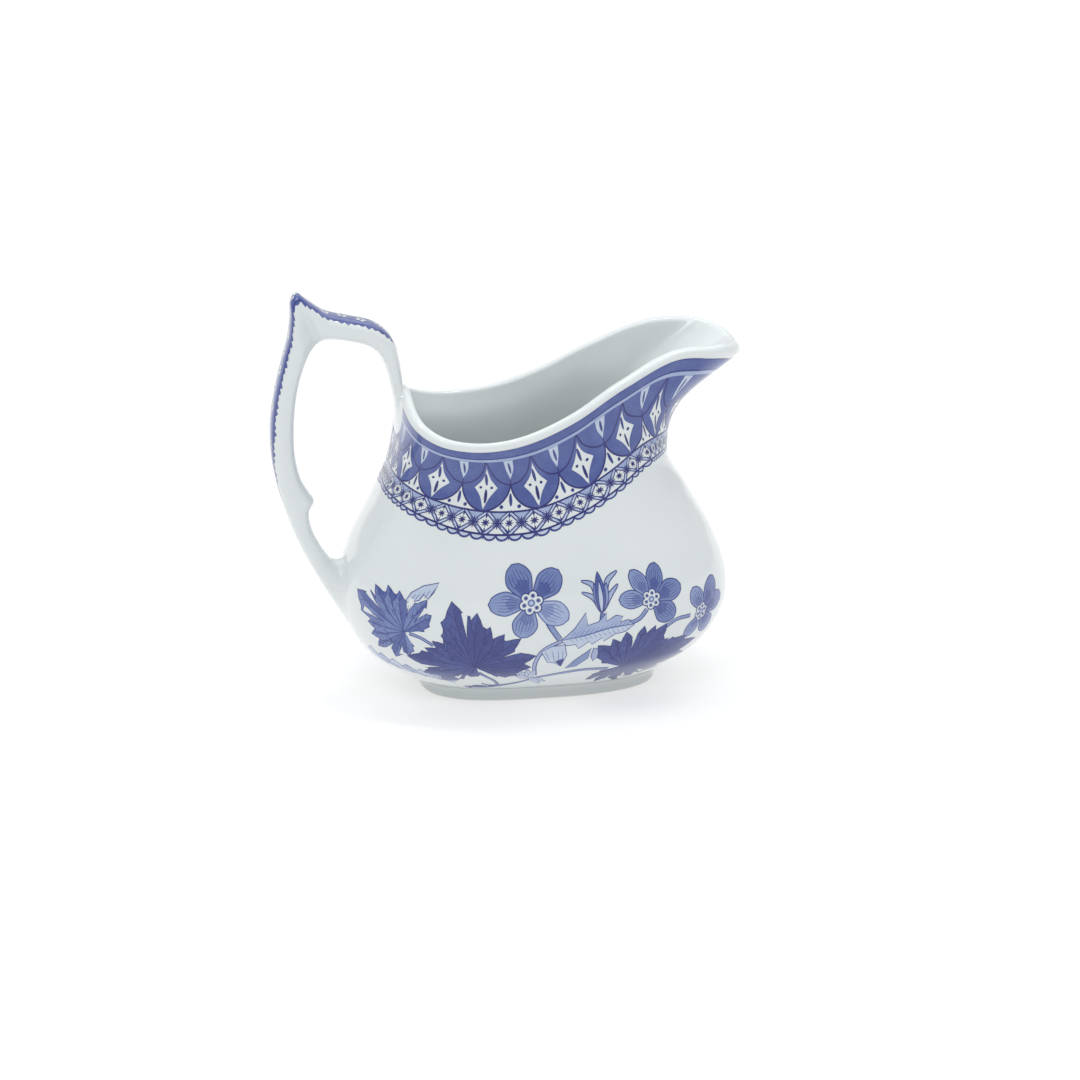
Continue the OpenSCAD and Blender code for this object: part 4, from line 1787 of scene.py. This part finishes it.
    def bud(self, plate: EngravedPlate) -> None:
        """Draw the upright bud with its curled sepals.

        Args:
            plate: The plate to draw on.
        """
        base = (14.4, 32.0)
        sepals = (
            ((14.2, 32.6), (12.2, 36.6), (8.9, 38.4)), ((13.0, 37.0), (12.0, 40.4), (9.0, 41.6)),
            ((14.8, 32.6), (16.8, 36.6), (19.8, 39.8)), ((15.8, 37.4), (16.8, 41.0), (20.2, 43.4)),
        )
        for run in sepals:
            line = smooth_line(run, 16)
            u = np.linspace(0, 1, 16)
            shape = ribbon(line, 0.72 * np.sin(math.pi * (0.1 + 0.86 * u)) ** 0.7)
            plate.bordered(shape, Tone.PALE, 0.30, Tone.DEEP)
        u = np.linspace(0, 1, 11)
        for tip, half, tone in (((12.6, 40.6), 1.2, Tone.SOFT), ((16.4, 40.6), 1.2, Tone.SOFT),
                                ((14.1, 43.8), 1.5, Tone.FULL), ((14.2, 41.4), 0.7, Tone.WASH)):
            width = half * np.sin(math.pi * u**0.9) ** 0.8
            shape = blade(base, tip, u, width)
            plate.bordered(shape, tone, 0.28, Tone.DEEP)

    def long_leaf(self, plate: EngravedPlate) -> None:
        """Draw the long pale leaf with its saw edge, and the small hanging buds below it.

        Args:
            plate: The plate to draw on.
        """
        upper = [
            (3.0, 24.2), (6.4, 27.6), (9.8, 32.6), (10.3, 28.6), (13.4, 29.4), (15.8, 32.0),
            (15.8, 29.4), (18.6, 31.0), (20.6, 30.4), (19.8, 28.8), (22.4, 29.2), (24.2, 27.4),
        ]
        lower = [
            (21.6, 25.4), (18.8, 25.0), (15.6, 22.8), (15.0, 24.2), (12.2, 22.0), (11.2, 23.2),
            (8.4, 20.8), (7.4, 22.4), (4.6, 22.2),
        ]
        shape = np.array(upper + lower)
        plate.fill(shape, Tone.PALE)
        plate.fill(np.array([(3.0, 24.2), (9.8, 25.2), (17.0, 27.0), (24.2, 27.4)] + lower), Tone.WASH)
        plate.outline(shape, 0.26, Tone.DEEP)
        plate.stroke([(3.0, 24.2), (9.8, 25.4), (17.0, 27.2), (24.0, 27.6)], 0.45, Tone.FULL)
        for x in np.arange(5.5, 22.0, 1.35):
            y = 24.4 + (x - 3.0) * 0.155
            plate.stroke([(x, y), (x + 1.5, y + 2.0)], 0.16, Tone.FULL)
            plate.stroke([(x, y - 0.2), (x + 1.2, y - 1.5)], 0.16, Tone.MID)
        hanging = np.array([
            (-2.6, 20.4), (0.4, 22.2), (4.2, 22.6), (5.2, 18.6), (4.0, 13.8), (1.8, 15.6),
            (-0.4, 16.0),
        ])
        plate.bordered(hanging, Tone.WASH, 0.26, Tone.FULL)
        for x0, x1, y1 in ((-1.4, 0.2, 16.6), (0.6, 1.8, 16.0), (2.4, 3.2, 14.8), (3.8, 4.2, 16.0)):
            plate.stroke([(x0, 20.6), (x1, y1)], 0.22, Tone.MID)
        plate.fill(np.array([(2.0, 16.2), (4.6, 17.4), (4.0, 13.6)]), Tone.DEEP)
        small = np.array([(13.0, 20.6), (14.8, 20.2), (15.0, 16.8), (14.0, 15.2), (12.8, 17.4)])
        plate.bordered(small, Tone.PALE, 0.26, Tone.DEEP)
        narrow = np.array([(5.6, 12.6), (8.0, 16.2), (12.4, 20.6), (12.0, 16.6), (9.0, 13.4)])
        plate.bordered(narrow, Tone.SOFT, 0.26, Tone.DEEP)

    def curled_tip(self, plate: EngravedPlate) -> None:
        """Draw the pale turned tip on the left leaf and the sketched leaf low by the handle.

        Args:
            plate: The plate to draw on.
        """
        shape = np.array([
            (-42.2, 35.4), (-40.4, 38.6), (-37.2, 40.8), (-32.8, 42.0), (-33.8, 39.2),
            (-35.2, 37.2), (-36.6, 38.4), (-37.8, 36.6), (-39.4, 36.2),
        ])
        plate.bordered(shape, Tone.WASH, 0.28, Tone.DEEP)
        for k in range(5):
            x = -40.4 + k * 1.35
            plate.stroke([(x, 36.2 + k * 0.35), (x + 1.4, 38.2 + k * 0.5)], 0.2, Tone.FULL)
        for k in range(6):
            x = -60.5 + k * 4.1
            drop = 1.45 * k
            tuft = np.array([(0, 16.6), (2.6, 18.2), (5.6, 14.4), (6.2, 11.6), (3.2, 13.4)])
            tuft = tuft + [x, -drop]
            plate.bordered(tuft, Tone.PALE if k % 2 else Tone.WASH, 0.32, Tone.FULL)
            plate.stroke([tuple(tuft[0]), tuple(tuft[3])], 0.30, Tone.FULL)

    def sepals(self, plate: EngravedPlate) -> None:
        """Draw the ruffled husk where the stems part.

        Args:
            plate: The plate to draw on.
        """
        for tip in ((-9.6, 12.6), (-6.6, 13.2), (-4.0, 12.6), (0.4, 4.4), (-1.6, 3.2), (-10.8, 9.8)):
            u = np.linspace(0, 1, 7)
            width = 1.1 * np.sin(math.pi * (0.1 + 0.85 * u))
            root = (-6.0, 7.4)
            shape = blade(root, tip, u, width)
            plate.bordered(shape, Tone.WASH, 0.24, Tone.FULL)
            plate.stroke([root, tip], 0.18, Tone.MID)

    def build(self, material: bpy.types.Material) -> bpy.types.Object:
        """Make the spray and dress it.

        Args:
            material: The cobalt ink.

        Returns:
            The spray.
        """
        plate = EngravedPlate(self.seed)
        self.curled_tip(plate)
        self.stems(plate)
        self.sepals(plate)
        self.long_leaf(plate)
        self.leaf(plate, self.leaves[0])
        self.leaf(plate, self.leaves[1])
        self.bud(plate)
        for flower in self.blossoms[1:]:
            self.blossom(plate, flower)
        self.leaf(plate, self.leaves[2])
        self.blossom(plate, self.blossoms[0])
        pod = np.array([(29.4, 1.6), (31.2, 2.0), (32.2, 0.9), (31.0, 0.5), (29.6, 0.7)])
        plate.fill(pod, Tone.LINE)
        piece = plate.mesh(self.node + "_blue", FlankMap(self.form, self.side), self.lift, self.grid)
        return dress(piece, material, Slot.PRINT, self.node)


@dataclass
class HandlePrint:
    """Fringed ground with small white flowers down the strap's outer face."""

    strap: StrapForm
    lift: float = 0.035
    grid: float = 0.55
    seed: int = 37
    half: float = 4.0
    pitch: float = 5.4
    fringe: float = 0.75
    fringe_pitch: float = 2.1
    petal_reach: float = 1.05
    petal: float = 0.62
    eye: float = 0.5

    def build(self, material: bpy.types.Material) -> bpy.types.Object:
        """Make the print and dress it.

        Args:
            material: The cobalt ink.

        Returns:
            The print.
        """
        plate = EngravedPlate(self.seed)
        places = StrapMap(self.strap)
        length = places.length()
        xs = np.linspace(0.3, length - 0.3, 300)
        ends = np.minimum(1, np.minimum((xs - 0.2) / 11.0, (length - xs) / 22.0))
        fringe = np.abs(np.sin(xs * math.pi / self.fringe_pitch)) * (1 + 0.4 * np.sin(xs * 0.9))
        fringe = self.fringe * fringe
        width = self.half * np.clip(ends, 0, 1) ** 0.7 + fringe * np.clip(ends * 3, 0, 1)
        plate.fill(np.vstack([np.stack([xs, width], -1), np.stack([xs, -width], -1)[::-1]]), Tone.FULL)
        for sign in (1, -1):
            line = np.stack([xs, sign * np.maximum(width - fringe - 0.25, 0.05)], -1)
            plate.stroke(line, 0.50, Tone.DEEP, False)
        for k, x in enumerate(np.arange(7.0, length - 9.0, self.pitch)):
            room = float(np.interp(x, xs, width))
            if room < 1.6:
                continue
            y = 0.5 * (1 if k % 2 else -1)
            for turn in range(5):
                a = 2 * math.pi * turn / 5 + k
                spot = (x + self.petal_reach * math.cos(a), y + self.petal_reach * math.sin(a))
                plate.fill(circle(spot, self.petal, 8), Tone.BARE)
            plate.fill(circle((x, y), self.eye, 8), Tone.DEEP)
            curl = smooth_line([(x + 1.9, -y * 1.6), (x + 2.8, y * 2.6), (x + 3.8, -y * 0.6)], 12)
            plate.stroke(curl, 0.4, Tone.LINE)
            plate.stroke([(x - 2.0, y * 2.8), (x - 0.6, y * 4.2)], 0.35, Tone.LINE)
        piece = plate.mesh("handle_print_blue", places, self.lift, self.grid)
        return dress(piece, material, Slot.PRINT, "handle_print")


# ---------------------------------------------------------------- studio


@dataclass(frozen=True)
class SoftLight:
    """A rectangular soft light: its place and side lengths in metres, and its power in watts."""

    name: str
    place: tuple
    size: tuple
    power: float

    def hang(self, aim_height: float) -> None:
        """Hang the light and turn it to a point above the middle of the table.

        Args:
            aim_height: Height of that point, in metres.
        """
        data = bpy.data.lights.new(self.name, "AREA")
        data.shape = "RECTANGLE"
        data.size, data.size_y = self.size
        data.energy = self.power
        lamp = bpy.data.objects.new(self.name, data)
        lamp.location = self.place
        aim = Vector(self.place) - Vector((0, 0, aim_height))
        lamp.rotation_euler = aim.to_track_quat("Z", "Y").to_euler()
        bpy.context.scene.collection.objects.link(lamp)


@dataclass
class Studio:
    """Floor, soft lights, pale surroundings and the camera; lengths in metres, angles in degrees."""

    azimuth: float = -10.0
    elevation: float = 18.0
    distance: float = 1.2
    lens: float = 140.0
    sensor_width: float = 36.0
    target: tuple = (-0.0001, 0.0, 0.048)
    aim_right: float = 0.01014
    aim_down: float = 0.006
    floor_half: float = 4.0
    light_aim: float = 0.06
    lights: tuple = (
        SoftLight("overhead_softbox", (0.0, 0.5, 1.8), (3.2, 3.2), 20.0),
        SoftLight("key_softbox", (-0.45, -0.75, 1.05), (0.5, 0.35), 1.6),
        SoftLight("top_strip", (0.05, 0.10, 0.95), (0.7, 0.015), 1.3),
    )
    room_colour: tuple = (0.96, 0.98, 1.0, 1.0)
    room_strength: float = 0.74
    view_transform: str = "Standard"

    def view_axes(self) -> tuple[Vector, Vector, Vector]:
        """Find which way the camera's back, right and top face.

        Returns:
            The three directions, each of length 1.
        """
        a, e = math.radians(self.azimuth), math.radians(self.elevation)
        back = Vector((math.sin(a) * math.cos(e), -math.cos(a) * math.cos(e), math.sin(e)))
        right = (-back).cross(Vector((0, 0, 1))).normalized()
        return back, right, right.cross(-back)

    def camera(self) -> None:
        """Place the camera, moved with its aim so that the jug sits off centre without shift."""
        back, right, up = self.view_axes()
        aim = Vector(self.target) + right * self.aim_right - up * self.aim_down
        lens = bpy.data.cameras.new("camera")
        lens.lens = self.lens
        lens.sensor_width = self.sensor_width
        eye = bpy.data.objects.new("camera", lens)
        eye.location = aim + back * self.distance
        eye.rotation_euler = back.to_track_quat("Z", "Y").to_euler()
        bpy.context.scene.collection.objects.link(eye)
        bpy.context.scene.camera = eye

    def floor(self) -> None:
        """Lay the plain pale floor."""
        h = self.floor_half / MM
        corners = np.array([(-h, -h, 0), (h, -h, 0), (h, h, 0), (-h, h, 0)], float)
        plane = new_object("floor", corners, [(0, 1, 2, 3)], smooth=False)
        plane.data.materials.append(PaleFloor().make())

    def surroundings(self) -> None:
        """Set the even pale light of the room and how the scene's light is shown."""
        room = bpy.data.worlds.new("pale_room")
        room.use_nodes = True
        light = room.node_tree.nodes["Background"]
        light.inputs["Color"].default_value = self.room_colour
        light.inputs["Strength"].default_value = self.room_strength
        bpy.context.scene.world = room
        bpy.context.scene.view_settings.view_transform = self.view_transform

    def build(self) -> None:
        """Make the whole studio."""
        self.camera()
        self.floor()
        for light in self.lights:
            light.hang(self.light_aim)
        self.surroundings()


def main() -> None:
    """Build the jug around the frame and set up the studio."""
    logging.basicConfig(level=logging.INFO, format="%(name)s %(message)s")
    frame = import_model()
    LOG.info("frame holds %d nodes", len(frame["nodes"]))
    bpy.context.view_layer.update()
    form = JugForm()
    strap = StrapForm(form)
    porcelain, ink = GlazedPorcelain().make(), CobaltInk().make()
    CastBody(form).build(porcelain)
    FootRing(form).build(FootPorcelain().make())
    StrapHandle(strap).build(porcelain)
    for root in Root:
        HandleSlip(strap, root).build(porcelain)
    BorderPrint(form).build(ink)
    SprayPrint(form, -1, "near_spray_print").build(ink)
    SprayPrint(form, 1, "far_spray_print").build(ink)
    HandlePrint(strap).build(ink)
    Studio().build()


if __name__ == "__main__":
    main()
